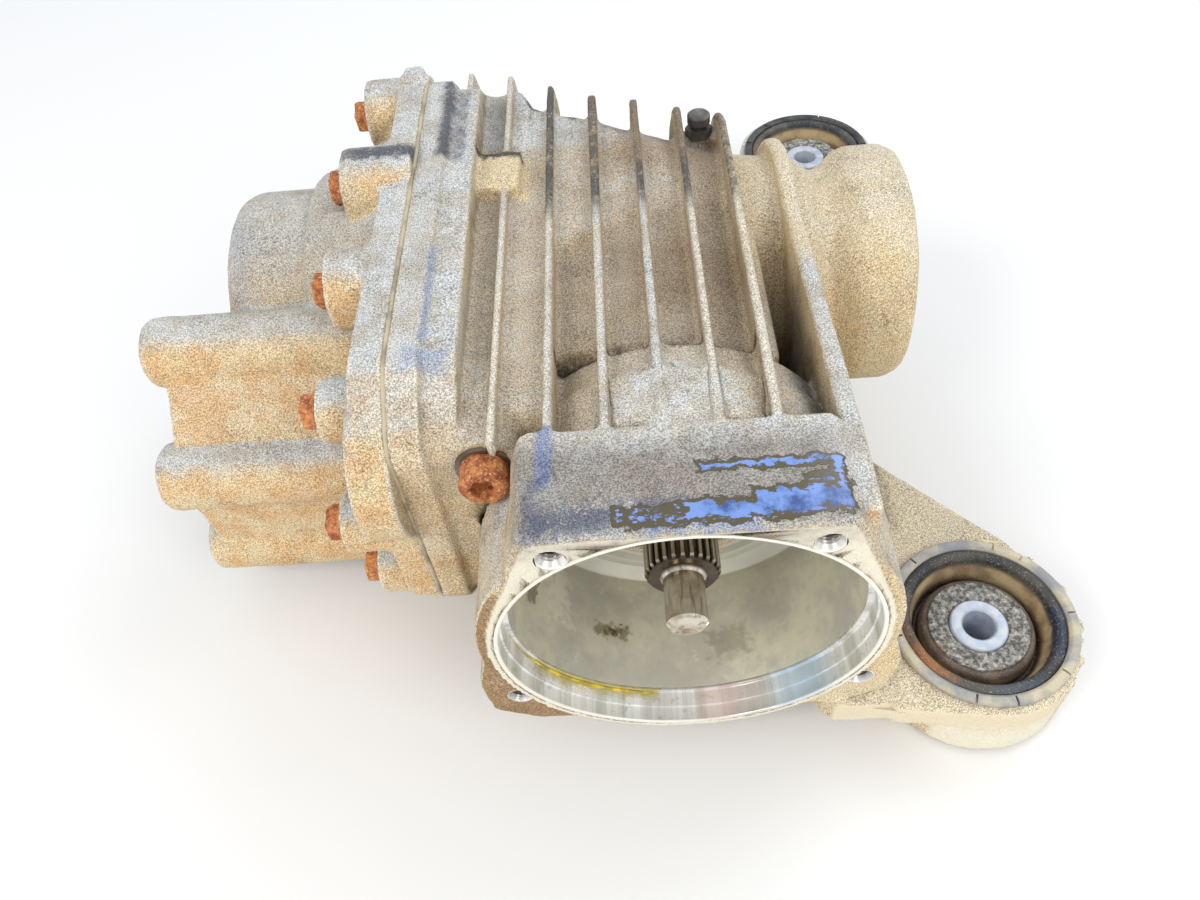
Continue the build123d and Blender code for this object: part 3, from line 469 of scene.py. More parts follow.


# %% [markdown]
# ## The finish of the castings
# Sand-cast aluminium in road dust, with painted light: pale grey painted sky light on faces that look up,
# warm painted sunlight on faces that look forward, brown in between, and painted shade on faces that look
# down and in the hollows. Pointiness, which Cycles measures on a dense mesh, finds worn edges, and an
# Ambient Occlusion node that sees only its own object finds the hollows, which it darkens as painted shade.
# A strong fine grain breaks every tone, as the sparkle of the sand mould does on the real thing.

# %% Casting colours
# Painted light: PALE_GREY, TOP_GREY as sky light, SAND, ORANGE_SAND as sunlight, UNDERSIDE_SHADE as shade.
PALE_GREY = paint(206, 210, 213)
WARM_GREY = paint(204, 194, 176)
TAN = paint(204, 186, 152)
UMBER = paint(160, 138, 112)
SAND = paint(232, 208, 166)
ORANGE_SAND = paint(226, 186, 136)
TOP_GREY = paint(192, 189, 182)
UNDERSIDE_SHADE = paint(176, 158, 130)
# DIRT_AND_SHADE is the dark of real pits and stains, and also the painted shade in the hollows.
DIRT_AND_SHADE = paint(64, 55, 46)
EDGE = paint(230, 222, 202)
PAD = paint(238, 232, 212)
RECESS = paint(164, 132, 94)
OIL_RIM = paint(92, 84, 64)
# Painted reflection: the blue of the sky as seen in the oil, laid into its colour.
OIL_SKY_REFLECTION = paint(122, 154, 220)
OIL_DEEP_SKY_REFLECTION = paint(64, 88, 146)
SHADOW_BLUE = paint(84, 92, 116)
# Painted reflection: the blue of the sky on wet metal.
WET_SKY_REFLECTION = paint(146, 162, 196)
BLACKENED = paint(58, 56, 56)


# %% A film of oil: boxes pulled out of shape by noise, with a broken edge
OIL_PULL = 6.0
OIL_SOFT = 4.6


def oil_film(tree, place, spills):
    """Two masks: where the film wets the metal, and where it is thick enough for a painted sky reflection."""
    pull = tree.nodes.new("ShaderNodeTexNoise")
    socket_in(tree, pull.inputs["Vector"], place)
    pull.inputs["Scale"].default_value = 170.0
    drift = vector_node(tree, "SUBTRACT", pull.outputs["Color"], (0.5, 0.5, 0.5))
    drift = vector_node(tree, "MULTIPLY", drift, (OIL_PULL * MM, OIL_PULL * MM, 0.0))
    bent = vector_node(tree, "ADD", place, drift)
    film = None
    for middle, half, level in spills:
        mask = use_group(
            tree, soft_box, Place=bent, Middle=[v * MM for v in middle], Half=[v * MM for v in half],
            Soft=OIL_SOFT * MM, Ragged=0.0,
        )["Mask"]
        mask = times(tree, mask, level)
        film = mask if film is None else math_node(tree, "MAXIMUM", film, mask)
    near = band(tree, film, 0.0, 0.3, 0.0, 1.7)
    along = vector_node(tree, "MULTIPLY", place, (0.6, 1.0, 1.0))
    broken = math_node(tree, "SUBTRACT", noise(tree, along, 420.0, 4.0, 0.7), 0.5)
    film = math_node(tree, "MULTIPLY_ADD", broken, near, film)
    return band(tree, film, 0.18, 0.28), band(tree, film, 0.56, 0.64)


# %% The tone of a casting, with painted light by where each face looks
def cast_tone_and_painted_light(tree, facing, moved, patches, painted_sun_warmth):
    """Tan and grey clouds, then painted light: sky light up, sunlight forward and shade down."""
    clouds = noise(tree, moved, 22.0, 4.0, 0.6)
    colour = mix_colour(tree, band(tree, clouds, 0.40, 0.60), TAN, WARM_GREY)
    colour = mix_colour(tree, band(tree, patches, 0.50, 0.66, 0.0, 0.7), colour, UMBER)
    # Painted sky light: faces that look up are painted pale grey.
    top = mix_colour(tree, band(tree, patches, 0.42, 0.60), PALE_GREY, TOP_GREY)
    colour = mix_colour(tree, band(tree, facing[2], 0.2, 0.9, 0.0, 0.85), colour, top)
    # Painted sunlight: faces that look forward are painted warm sand.
    ahead = mix_colour(tree, band(tree, patches, 0.40, 0.62), SAND, ORANGE_SAND)
    forward = band(tree, facing[1], -0.30, -0.85, 0.0, painted_sun_warmth)
    colour = mix_colour(tree, forward, colour, ahead)
    # Painted shade: faces that look down are painted darker.
    return mix_colour(tree, band(tree, facing[2], -0.25, -0.9, 0.0, 0.8), colour, UNDERSIDE_SHADE)


# %% Painted shade in the hollows and wear on the edges
HOLLOW_REACH = 16.0


def painted_shade_dirt_and_wear(tree, colour, patches, point):
    """Both come in patches, so that no edge is outlined evenly."""
    # Painted shade: the hollows that the Ambient Occlusion node finds are darkened, in dirt-like patches.
    shade = tree.nodes.new("ShaderNodeAmbientOcclusion")
    shade.samples = 6
    shade.only_local = True
    shade.inputs["Distance"].default_value = HOLLOW_REACH * MM
    hollow_shade = band(tree, shade.outputs["AO"], 0.78, 0.25, 0.0, 0.62)
    colour = mix_colour(tree, times(tree, hollow_shade, band(tree, patches, 0.3, 0.5, 0.55, 1.0)), colour, DIRT_AND_SHADE)
    edge = times(tree, band(tree, point, 0.512, 0.56), band(tree, patches, 0.28, 0.50, 0.35, 0.95))
    return mix_colour(tree, edge, colour, EDGE)


# %% The fins' blackened crests, towards the back of the housing
FINS_BACK_Y = 145.0
FINS_LEFT_X = -56.0
FINS_RIGHT_X = 44.0
CREST_Z = 44.0


def black_crests(tree, colour, place, point):
    """Old grime that only the crests of the rear fins carry."""
    x, y, z = place
    back = band(tree, y, FINS_BACK_Y * MM, (FINS_BACK_Y + 22) * MM)
    back = times(tree, back, band(tree, x, FINS_RIGHT_X * MM, (FINS_RIGHT_X - 4) * MM))
    back = times(tree, back, band(tree, x, FINS_LEFT_X * MM, (FINS_LEFT_X + 4) * MM, 0.15, 1.0))
    crest = times(tree, band(tree, point, 0.500, 0.525), band(tree, z, CREST_Z * MM, (CREST_Z + 12) * MM))
    return mix_colour(tree, times(tree, times(tree, back, crest), 0.88), colour, BLACKENED)


# %% The mouth's face: sunk cast metal, and the pads round its holes, which were milled
def mouth_face(tree, colour, place, facing):
    """The colour with the face painted in, and the mask of its pads."""
    x, y, z = place
    face = times(tree, band(tree, facing[1], -0.6, -0.9), band(tree, y, 4.2 * MM, 3.0 * MM))
    sunk = mix_colour(tree, band(tree, x, 30 * MM, 60 * MM), RECESS, SAND)
    colour = mix_colour(tree, face, colour, sunk)
    pads = times(tree, face, band(tree, y, 1.4 * MM, 0.5 * MM))
    return mix_colour(tree, times(tree, pads, 0.92), colour, PAD), pads


# %% The sparkle of the sand mould
def sparkling(tree, colour, grain, dry):
    """Grain breaks every tone; dry is 1 on bare casting and 0 under oil or on milled metal."""
    swing = math_node(tree, "SUBTRACT", grain["Bright"], 1.0)
    bright = math_node(tree, "MULTIPLY_ADD", swing, dry, 1.0)
    grey = tree.nodes.new("ShaderNodeCombineXYZ")
    for i in range(3):
        socket_in(tree, grey.inputs[i], bright)
    colour = mix_colour(tree, 0.9, colour, grey.outputs[0], "MULTIPLY")
    colour = mix_colour(tree, times(tree, times(tree, grain["Pits"], 0.5), dry), colour, DIRT_AND_SHADE)
    return mix_colour(tree, times(tree, times(tree, grain["Grains"], 0.5), dry), colour, EDGE)


# %% The casting recipe
SHINIEST = 0.06


def casting(name, painted_sun_warmth, stains, shift, spills=None):
    """Only the housing has fins, a mouth and spilt oil; shift slides the noises, in metres."""
    material, tree, shader = new_material(name)
    place = object_place(tree)
    at = split_xyz(tree, place)
    moved = vector_node(tree, "ADD", place, (shift, 0.0, shift * 0.5))
    geometry = tree.nodes.new("ShaderNodeNewGeometry")
    facing = split_xyz(tree, geometry.outputs["Normal"])
    point = geometry.outputs["Pointiness"]
    patches = noise(tree, moved, 75.0, 5.0, 0.65)
    grain = use_group(tree, sand_grain, Place=moved, Scale=980.0, Amount=0.6)

    colour = cast_tone_and_painted_light(tree, facing, moved, patches, painted_sun_warmth)
    colour = painted_shade_dirt_and_wear(tree, colour, patches, point)
    if spills:
        colour = black_crests(tree, colour, at, point)
        colour, pads = mouth_face(tree, colour, at, facing)
    rough = math_node(tree, "MULTIPLY_ADD", patches, 0.2, 0.66)
    colour, rough = stained(tree, place, colour, rough, stains)

    relief = math_node(tree, "MULTIPLY_ADD", patches, 0.8, grain["Height"])
    dry = 1.0
    if spills:
        wet, shine = oil_film(tree, place, spills)
        colour = mix_colour(tree, wet, colour, OIL_RIM)
        # Painted reflection: where the film is thick, its colour is painted sky blue.
        painted_sky_reflection = mix_colour(tree, band(tree, patches, 0.46, 0.66), OIL_SKY_REFLECTION, OIL_DEEP_SKY_REFLECTION)
        colour = mix_colour(tree, shine, colour, painted_sky_reflection)
        dry = times(tree, flipped(tree, wet), math_node(tree, "MULTIPLY_ADD", pads, -0.8, 1.0))
        rough = math_node(tree, "MULTIPLY_ADD", wet, -0.62, rough)
        relief = times(tree, relief, math_node(tree, "MAXIMUM", dry, SHINIEST))
    socket_in(tree, shader.inputs["Base Color"], sparkling(tree, colour, grain, dry))
    socket_in(tree, shader.inputs["Roughness"], math_node(tree, "MAXIMUM", rough, SHINIEST))
    shader.inputs["Metallic"].default_value = 0.0
    shader.inputs["Specular IOR Level"].default_value = 0.4
    socket_in(tree, shader.inputs["Normal"], bump(tree, relief, 0.42 * MM, 0.9))
    return material


# %% [markdown]
# ### Where the castings are stained, and where light is painted on them
# These are the marks that give the real part its face: the oil on the mouth block, the dark streaks along
# the flange and the first ribs, and the greyer patch on the left collar. Some marks are painted light: the
# blue on the oil and on wet metal is a painted reflection of the sky, the pale blue patches on the cover
# are painted sky light, and SHADOW_BLUE and the dark band in front of the bell are painted shadow. Each is
# placed on the part, in millimetres. A spill of oil has a middle, a half size and a level; a stain is as
# said above.

# %% Stains of the two castings
housing_oil = (
    ((27, 24.6, 69), (22, 1.2, 4), 1.0),
    ((47.5, 16, 69), (1.6, 9, 4), 0.9),
    ((34, 10.2, 69), (14, 4.4, 4), 0.95),
    ((12, 8.2, 69), (13, 3.8, 4), 0.80),
    ((-8, 7.5, 69), (14, 3.8, 4), 0.54),
    ((41, 17.5, 69), (5, 1.4, 4), 0.85),
)
housing_stains = [
    ((-20, 124, 50), (62, 84, 15), 6.0, 5.0, paint(192, 174, 146), 0.8, 0.75),
    ((104, 80, -60), (60, 100, 16), 10.0, 5.0, paint(228, 212, 178), 0.8, 0.75),
    ((96, 200, 10), (62, 70, 80), 12.0, 6.0, paint(232, 212, 172), 0.8, 0.6),
    ((-4, 19, 69), (50, 16, 5), 14.0, 3.0, paint(128, 120, 112), 0.55, 0.9),
    ((-24, 8, 69), (24, 5, 6), 5.0, 3.0, SHADOW_BLUE, 0.4, 0.75),
    # Painted sky reflections on wet metal: this stain and the blue one below it.
    ((6, 5, 69), (18, 3.0, 5), 3.0, 4.0, WET_SKY_REFLECTION, 0.25, 0.7),
    ((-43, 33, 67), (2.4, 13, 6), 2.4, 1.2, paint(112, 130, 172), 0.4, 0.75),
    ((-46, 14, 60), (2.5, 10, 12), 4.0, 2.4, SHADOW_BLUE, 0.5, 0.5),
    ((-82, 212, 80), (5, 28, 4), 3.0, 1.5, paint(78, 82, 94), 0.5, 0.9),
    ((-72, 186, 66), (21, 14, 6), 3.0, 2.0, paint(226, 204, 164), 0.8, 0.85),
    ((-72, 196.5, 69), (21, 2.4, 5), 2.0, 1.5, BLACKENED, 0.4, 0.95),
    # Painted shadow: a dark band across the fins just in front of the bell.
    ((-6, 85, 54), (38, 2.2, 9), 2.5, 1.5, paint(50, 40, 32), 0.8, 0.9),
    # Painted sky reflections on the wet flange.
    ((-83.5, 103, 79.5), (1.2, 25, 3), 1.2, 0.9, WET_SKY_REFLECTION, 0.2, 0.6),
    ((-82, 71, 78), (7, 4.5, 5), 4.0, 2.0, WET_SKY_REFLECTION, 0.3, 0.55),
    ((2, 226, 62), (26, 40, 16), 16.0, 6.0, UMBER, 0.8, 0.55),
    ((14, 128, 54), (26, 18, 10), 12.0, 5.0, UMBER, 0.8, 0.5),
    ((92, 108, -62), (6, 24, 10), 8.0, 5.0, DIRT_AND_SHADE, 0.8, 0.5),
    ((92, 40, -60), (6, 20, 16), 7.0, 4.0, UMBER, 0.8, 0.7),
]
cover_stains = [
    ((-106, 182, 80), (22, 4.5, 8), 3.0, 2.0, paint(76, 80, 92), 0.45, 0.92),
    ((-90, 214, 78), (5, 30, 6), 3.0, 1.6, paint(96, 100, 112), 0.5, 0.7),
    # Painted sky light: a pale blue patch on the cover's left side.
    ((-176, 165, 42), (5, 18, 20), 8.0, 4.0, paint(150, 160, 184), 0.6, 0.6),
    ((-152, 189, 30), (30, 60, 60), 12.0, 5.0, paint(184, 176, 160), 0.8, 0.5),
    # Painted sky light: a pale blue patch on the cover's left face.
    ((-196, 116, 56), (3, 12, 5), 4.0, 2.0, paint(150, 168, 196), 0.5, 0.7),
    ((-196, 75, 30), (6, 12, 6), 5.0, 3.0, SHADOW_BLUE, 0.6, 0.6),
    ((-150, 96, 36), (44, 3, 8), 6.0, 4.0, UMBER, 0.8, 0.5),
]
# The second argument is how strongly painted sunlight warms the faces that look forward.
cast_housing = casting("dusty_casting_painted_light", 0.62, housing_stains, 0.0, housing_oil)
cast_cover = casting("dusty_cover_casting_painted_light", 0.95, cover_stains, 0.37)
print("castings have", len(housing_stains), "and", len(cover_stains), "stains")

# %% [markdown]
# ## Machined aluminium
# The mouth was turned on a lathe and wiped by hand. Its brightness is a painted reflection that changes
# round the axis, as a turned ring's does, so the noise reads only the direction from the axis and draws
# streaks along the bore. The blue tint is a painted reflection of the sky, and the other tints are old oil
# in the low part. The cavity behind was left as die-cast skin.

# %% Machined ring
LIP_DEPTH = 0.9
TURNING_WAVES = 9000.0


def machined(name, stains):
    """Painted reflection streaks, a paler lip that faces forward, and a turning mark every 0.7 mm."""
    material, tree, shader = new_material(name)
    place = object_place(tree)
    x, y, z = split_xyz(tree, place)
    round_axis = tree.nodes.new("ShaderNodeCombineXYZ")
    socket_in(tree, round_axis.inputs[0], x)
    socket_in(tree, round_axis.inputs[2], z)
    # Painted reflection: bright and dark streaks round the axis, as a turned surface reflects light.
    reflection_streaks = noise(tree, vector_node(tree, "NORMALIZE", round_axis.outputs[0]), 9.0, 5.0, 0.65)
    wear = noise(tree, place, 260.0, 4.0, 0.6)
    colour = mix_colour(tree, band(tree, reflection_streaks, 0.36, 0.64), paint(206, 204, 196), paint(250, 250, 248))
    colour = mix_colour(tree, band(tree, wear, 0.56, 0.70, 0.0, 0.5), colour, paint(170, 166, 156))
    front = band(tree, y, LIP_DEPTH * MM, 0.2 * MM)
    colour = mix_colour(tree, front, colour, paint(246, 243, 232))
    rough = math_node(tree, "MULTIPLY_ADD", wear, 0.22, 0.20)
    rough = math_node(tree, "MULTIPLY_ADD", front, 0.18, rough)
    colour, rough = stained(tree, place, colour, rough, stains)
    socket_in(tree, shader.inputs["Base Color"], colour)
    socket_in(tree, shader.inputs["Roughness"], math_node(tree, "MAXIMUM", rough, 0.08))
    shader.inputs["Metallic"].default_value = 0.55
    turning = times(tree, math_node(tree, "SINE", times(tree, y, TURNING_WAVES)), 0.5)
    socket_in(tree, shader.inputs["Normal"], bump(tree, turning, 0.02 * MM, 0.6))
    return material


# %% Cavity behind the ring
FLOOR_Y = 60.0


def cavity_finish():
    """Cloudy cast skin with thumb marks, dirt and a yellow smear, and a paler floor."""
    material, tree, shader = new_material("cavity_skin")
    place = object_place(tree)
    y = split_xyz(tree, place)[1]
    broad = noise(tree, place, 34.0, 4.0, 0.62)
    blotch = noise(tree, place, 150.0, 5.0, 0.66)
    colour = mix_colour(tree, band(tree, broad, 0.38, 0.62), paint(206, 202, 178), paint(184, 181, 168))
    colour = mix_colour(tree, band(tree, blotch, 0.50, 0.66, 0.0, 0.35), colour, paint(172, 166, 148))
    pale = band(tree, flipped(tree, blotch), 0.60, 0.72, 0.0, 0.4)
    colour = mix_colour(tree, pale, colour, paint(232, 230, 216))
    rough = math_node(tree, "MULTIPLY_ADD", blotch, 0.25, 0.34)
    floor_ring = band(tree, y, FLOOR_Y * MM, (FLOOR_Y + 2) * MM)
    colour = mix_colour(tree, times(tree, floor_ring, 0.75), colour, paint(228, 226, 214))
    colour, rough = stained(tree, place, colour, rough, [
        ((-49, 44, -38), (3, 11, 8), 4.0, 4.0, paint(214, 212, 196), 0.6, 0.8),
        ((-55, 38, -20), (4, 6, 4), 2.0, 3.0, paint(96, 90, 70), 0.6, 0.7),
        ((-30, 36, -55), (7, 2.6, 4), 2.0, 3.0, paint(120, 110, 70), 0.6, 0.75),
        ((-33, 66, 22), (18, 3, 6), 5.0, 3.0, paint(216, 200, 60), 0.3, 0.85),
        ((18, 30, -58), (8, 6, 4), 4.0, 4.0, paint(132, 122, 98), 0.6, 0.5),
    ])
    socket_in(tree, shader.inputs["Base Color"], colour)
    socket_in(tree, shader.inputs["Roughness"], rough)
    shader.inputs["Metallic"].default_value = 0.25
    socket_in(tree, shader.inputs["Normal"], bump(tree, blotch, 0.2 * MM, 0.6))
    return material


# %% The finishes of ring, cavity and threads
mouth_metal = machined("machined_mouth", [
    ((14, 6, -64), (8, 9, 4), 9.0, 1.0, paint(240, 212, 208), 0.25, 0.6),
    ((26, 6, -60), (4, 9, 6), 7.0, 1.0, paint(180, 166, 156), 0.25, 0.5),
    # Painted reflection of the sky on the machined metal.
    ((44, 6, -48), (9, 9, 10), 11.0, 1.5, paint(190, 216, 240), 0.2, 0.75),
    ((-38, 11.5, -50), (26, 2.0, 20), 3.0, 2.0, paint(206, 190, 70), 0.25, 0.7),
])
cavity_metal = cavity_finish()
thread_metal = machined("thread_metal", [
    ((0, 17, 0), (90, 13.5, 90), 3.0, 0.5, paint(66, 58, 50), 0.5, 0.85),
])
print("machined finishes:", mouth_metal.name, cavity_metal.name, thread_metal.name)

# %% [markdown]
# ## Other finishes
# Plain metals share one recipe: a base tint, a noise that moves colour and roughness, and a fine bump.
# Rust is a flaky recipe with three tones. Rubber is dark, with dust in its low places.

# %% Metal, rust and rubber materials
def metal(name, base, worn, rough, scale=180.0, metallic=1.0, depth=0.06):
    """Base and worn are its two tones; scale sizes their patches, depth is the bump in millimetres."""
    material, tree, shader = new_material(name)
    place = object_place(tree)
    broad = noise(tree, place, scale, 4.0, 0.6)
    fine = noise(tree, place, scale * 8.0, 3.0, 0.6)
    socket_in(tree, shader.inputs["Base Color"], mix_colour(tree, band(tree, broad, 0.35, 0.65), base, worn))
    socket_in(tree, shader.inputs["Roughness"], math_node(tree, "MULTIPLY_ADD", broad, 0.25, rough - 0.12))
    shader.inputs["Metallic"].default_value = metallic
    socket_in(tree, shader.inputs["Normal"], bump(tree, fine, depth * MM))
    return material


def rust(name):
    """Orange over red-brown, with pale and dark flakes, all quite matt."""
    material, tree, shader = new_material(name)
    place = object_place(tree)
    broad = noise(tree, place, 210.0, 4.0, 0.65)
    flakes = noise(tree, place, 900.0, 4.0, 0.7)
    fine = noise(tree, place, 2200.0, 2.0, 0.6)
    colour = mix_colour(tree, band(tree, broad, 0.38, 0.60), paint(214, 140, 84), paint(158, 84, 56))
    colour = mix_colour(tree, band(tree, flakes, 0.54, 0.66), colour, paint(240, 190, 122))
    colour = mix_colour(tree, band(tree, flipped(tree, flakes), 0.56, 0.68), colour, paint(96, 44, 30))
    colour = mix_colour(tree, band(tree, fine, 0.62, 0.7, 0.0, 0.6), colour, paint(250, 214, 160))
    socket_in(tree, shader.inputs["Base Color"], colour)
    shader.inputs["Roughness"].default_value = 0.82
    shader.inputs["Metallic"].default_value = 0.0
    relief = math_node(tree, "MULTIPLY_ADD", broad, 1.2, flakes)
    socket_in(tree, shader.inputs["Normal"], bump(tree, relief, 0.6 * MM))
    return material


def rubber(name, base, dusty):
    """A soft dark skin with dust in broad patches."""
    material, tree, shader = new_material(name)
    place = object_place(tree)
    broad = noise(tree, place, 90.0, 4.0, 0.6)
    fine = noise(tree, place, 1100.0, 3.0, 0.6)
    colour = mix_colour(tree, band(tree, broad, 0.42, 0.66), base, dusty)
    socket_in(tree, shader.inputs["Base Color"], colour)
    socket_in(tree, shader.inputs["Roughness"], math_node(tree, "MULTIPLY_ADD", broad, 0.4, 0.3))
    socket_in(tree, shader.inputs["Normal"], bump(tree, fine, 0.12 * MM))
    return material


# %% [markdown]
# ### The pinion's steel
# On the spline the colour follows the distance from the axis: it is dark below the crests, in the gaps
# between the teeth. The stub in front is ground bright, with a brown bloom.

# %% Pinion steel
SPLINE_Y = 26.0
SPLINE_ROOT_R = 12.9
SPLINE_CREST_R = 13.8


def splined_steel():
    """Streaked steel whose spline, from SPLINE_Y back, is dark below its crests."""
    material, tree, shader = new_material("pinion_steel")
    place = object_place(tree)
    x, y, z = split_xyz(tree, place)
    across = tree.nodes.new("ShaderNodeCombineXYZ")
    socket_in(tree, across.inputs[0], x)
    socket_in(tree, across.inputs[1], z)
    radius = vector_node(tree, "LENGTH", across.outputs[0])
    broad = noise(tree, place, 130.0, 4.0, 0.6)
    streak = noise(tree, vector_node(tree, "MULTIPLY", place, (1.0, 0.12, 1.0)), 420.0, 3.0, 0.6)
    colour = mix_colour(tree, band(tree, broad, 0.38, 0.62), paint(190, 174, 152), paint(226, 218, 204))
    colour = mix_colour(tree, band(tree, streak, 0.52, 0.66, 0.0, 0.6), colour, paint(112, 92, 72))
    toothed = band(tree, y, SPLINE_Y * MM, (SPLINE_Y + 1) * MM)
    low = band(tree, radius, SPLINE_CREST_R * MM, SPLINE_ROOT_R * MM)
    colour = mix_colour(tree, times(tree, toothed, low), colour, paint(36, 30, 24))
    film = times(tree, toothed, band(tree, broad, 0.3, 0.7, 0.2, 0.6))
    colour = mix_colour(tree, film, colour, paint(110, 96, 80))
    socket_in(tree, shader.inputs["Base Color"], colour)
    socket_in(tree, shader.inputs["Roughness"], math_node(tree, "MULTIPLY_ADD", streak, 0.26, 0.06))
    shader.inputs["Metallic"].default_value = 0.85
    socket_in(tree, shader.inputs["Normal"], bump(tree, streak, 0.04 * MM))
    return material


# %% The steels, irons, rubbers and the oil
rusty = rust("rusty_steel")
shaft_steel = splined_steel()
gear_steel = metal("gear_steel", paint(128, 126, 124), paint(160, 158, 154), 0.38)
ground_steel = metal("ground_steel", paint(190, 190, 192), paint(214, 214, 216), 0.2)
cage_steel = metal("cage_steel", paint(120, 112, 104), paint(150, 142, 130), 0.45)
iron = metal("cast_iron", paint(78, 76, 74), paint(100, 96, 92), 0.6, 300.0, 0.7, 0.3)
seal_rubber = rubber("seal_rubber", paint(44, 38, 34), paint(80, 70, 60))
gasket = rubber("gasket_fibre", paint(196, 182, 156), paint(150, 138, 118))
black_steel = metal("blackened_steel", paint(48, 50, 54), paint(84, 84, 84), 0.4, 120.0, 0.3, 0.3)
breather_black = rubber("breather_black", paint(70, 70, 72), paint(126, 120, 108))
oil_yellow, oil_tree, oil_shader = new_material("yellow_oil")
oil_tone = noise(oil_tree, object_place(oil_tree), 160.0, 3.0)
socket_in(oil_tree, oil_shader.inputs["Base Color"], mix_colour(
    oil_tree, band(oil_tree, oil_tone, 0.4, 0.6), paint(232, 206, 36), paint(176, 150, 30)))
oil_shader.inputs["Roughness"].default_value = 0.1
oil_shader.inputs["Coat Weight"].default_value = 0.6
print("materials:", len(bpy.data.materials))


# %% [markdown]
# ### The bushings' finish
# A bushing is a stack of rings, so its rubber changes with the distance from its own axis: a dark rolled
# lip, a dusty tan wall in the groove, and a grey disc with a coarse speckle where the real one has raised
# marks. The lip has a rusty bloom on one side and, on the other, a blue-black sheen that is a painted
# reflection. Each ring passes to the next between two radii, in millimetres.

# %% Rubber of one bushing
DISC_TO_RIM = (20.2, 20.8)
RIM_TO_WALL = (22.9, 23.6)
WALL_TO_LIP = (27.6, 28.3)
WALL_TOP_Z = -66.0
WALL_FOOT_Z = -73.0


def bushing_finish(name, centre):
    """Disc, rim, wall and lip from the axis outwards, then stains and dust over all."""
    cx, cy = centre
    material, tree, shader = new_material(name)
    place = object_place(tree)
    local = vector_node(tree, "SUBTRACT", place, (cx * MM, cy * MM, 0.0))
    flat = vector_node(tree, "MULTIPLY", local, (1.0, 1.0, 0.0))
    radius = vector_node(tree, "LENGTH", flat)

    def past(edge):
        return band(tree, radius, edge[0] * MM, edge[1] * MM)

    z = split_xyz(tree, place)[2]
    broad = noise(tree, place, 70.0, 4.0, 0.6)
    speck = noise(tree, place, 520.0, 4.0, 0.7)
    fine = noise(tree, place, 1500.0, 3.0, 0.6)
    disc = mix_colour(tree, band(tree, speck, 0.44, 0.60), paint(158, 156, 150), paint(84, 82, 80))
    disc = mix_colour(tree, band(tree, flipped(tree, speck), 0.56, 0.66), disc, paint(206, 204, 198))
    rim = mix_colour(tree, band(tree, broad, 0.4, 0.6), paint(128, 112, 100), paint(96, 86, 78))
    colour = mix_colour(tree, past(DISC_TO_RIM), disc, rim)
    wall = mix_colour(tree, band(tree, broad, 0.4, 0.6), paint(206, 184, 142), paint(158, 134, 102))
    wall = mix_colour(tree, band(tree, z, WALL_TOP_Z * MM, WALL_FOOT_Z * MM), wall, paint(66, 52, 42))
    colour = mix_colour(tree, past(RIM_TO_WALL), colour, wall)
    lip = mix_colour(tree, band(tree, broad, 0.42, 0.62), paint(48, 50, 54), paint(86, 82, 76))
    colour = mix_colour(tree, past(WALL_TO_LIP), colour, lip)
    rough = math_node(tree, "MULTIPLY_ADD", broad, 0.4, 0.28)
    colour, rough = stained(tree, place, colour, rough, [
        ((cx - 27, cy - 17, -58), (8, 8, 4), 7.0, 3.0, paint(176, 116, 58), 0.7, 0.75),
        ((cx - 33, cy, -59), (2.5, 20, 4), 4.0, 2.0, paint(150, 110, 76), 0.7, 0.6),
        # Painted reflection: a blue-black sheen on the lip, here and in the next stain.
        ((cx + 28, cy - 8, -58), (5, 12, 4), 6.0, 2.0, paint(34, 44, 72), 0.12, 0.85),
        ((cx + 8, cy - 30, -58), (12, 3, 4), 4.0, 2.0, paint(70, 82, 98), 0.2, 0.6),
    ])
    dust = times(tree, band(tree, fine, 0.60, 0.68), 0.5)
    colour = mix_colour(tree, dust, colour, paint(214, 206, 188))
    socket_in(tree, shader.inputs["Base Color"], colour)
    socket_in(tree, shader.inputs["Roughness"], math_node(tree, "MAXIMUM", rough, 0.12))
    shader.inputs["Metallic"].default_value = 0.0
    on_disc = past((20.6, 20.2))
    relief = math_node(tree, "MULTIPLY_ADD", times(tree, speck, on_disc), 3.0, fine)
    socket_in(tree, shader.inputs["Normal"], bump(tree, relief, 0.3 * MM))
    return material


sleeve_steel = metal("bushing_sleeve_steel", paint(206, 196, 170), paint(150, 152, 156), 0.5, 70.0, 0.15, 0.4)
core_metal = metal("bushing_core_metal", paint(174, 186, 208), paint(206, 210, 216), 0.42, 160.0, 0.25, 0.1)
print("bushing metals:", sleeve_steel.name, core_metal.name)

# %% [markdown]
# ### Which finish goes where
# Each solid's entry in the record names a slot, and each slot has one finish. The vent nipple and the plug
# washers look unlike the rest of their slot, so they get another.

# %% Every solid gets the finish of its slot
finish_of_slot = {
    "housing_casting": cast_housing, "cover_casting": cast_cover, "rusty_fasteners": rusty,
    "pinion_steel": shaft_steel, "gear_steel": gear_steel, "bearing_steel": ground_steel,
    "roller_steel": ground_steel, "cage_steel": cage_steel, "case_iron": iron, "shim_steel": ground_steel,
    "seal_rubber": seal_rubber, "gasket_fibre": gasket, "bushing_rubber": seal_rubber,
    "bushing_sleeve": sleeve_steel, "bushing_core": core_metal,
}
for entry in frame["record"]["subparts"]:
    solid = nodes[entry["node"]]
    solid.data.materials.clear()
    solid.data.materials.append(finish_of_slot[entry["material_slot"]])
nodes["breather"].data.materials[0] = breather_black
nodes["plug_washers"].data.materials[0] = cage_steel

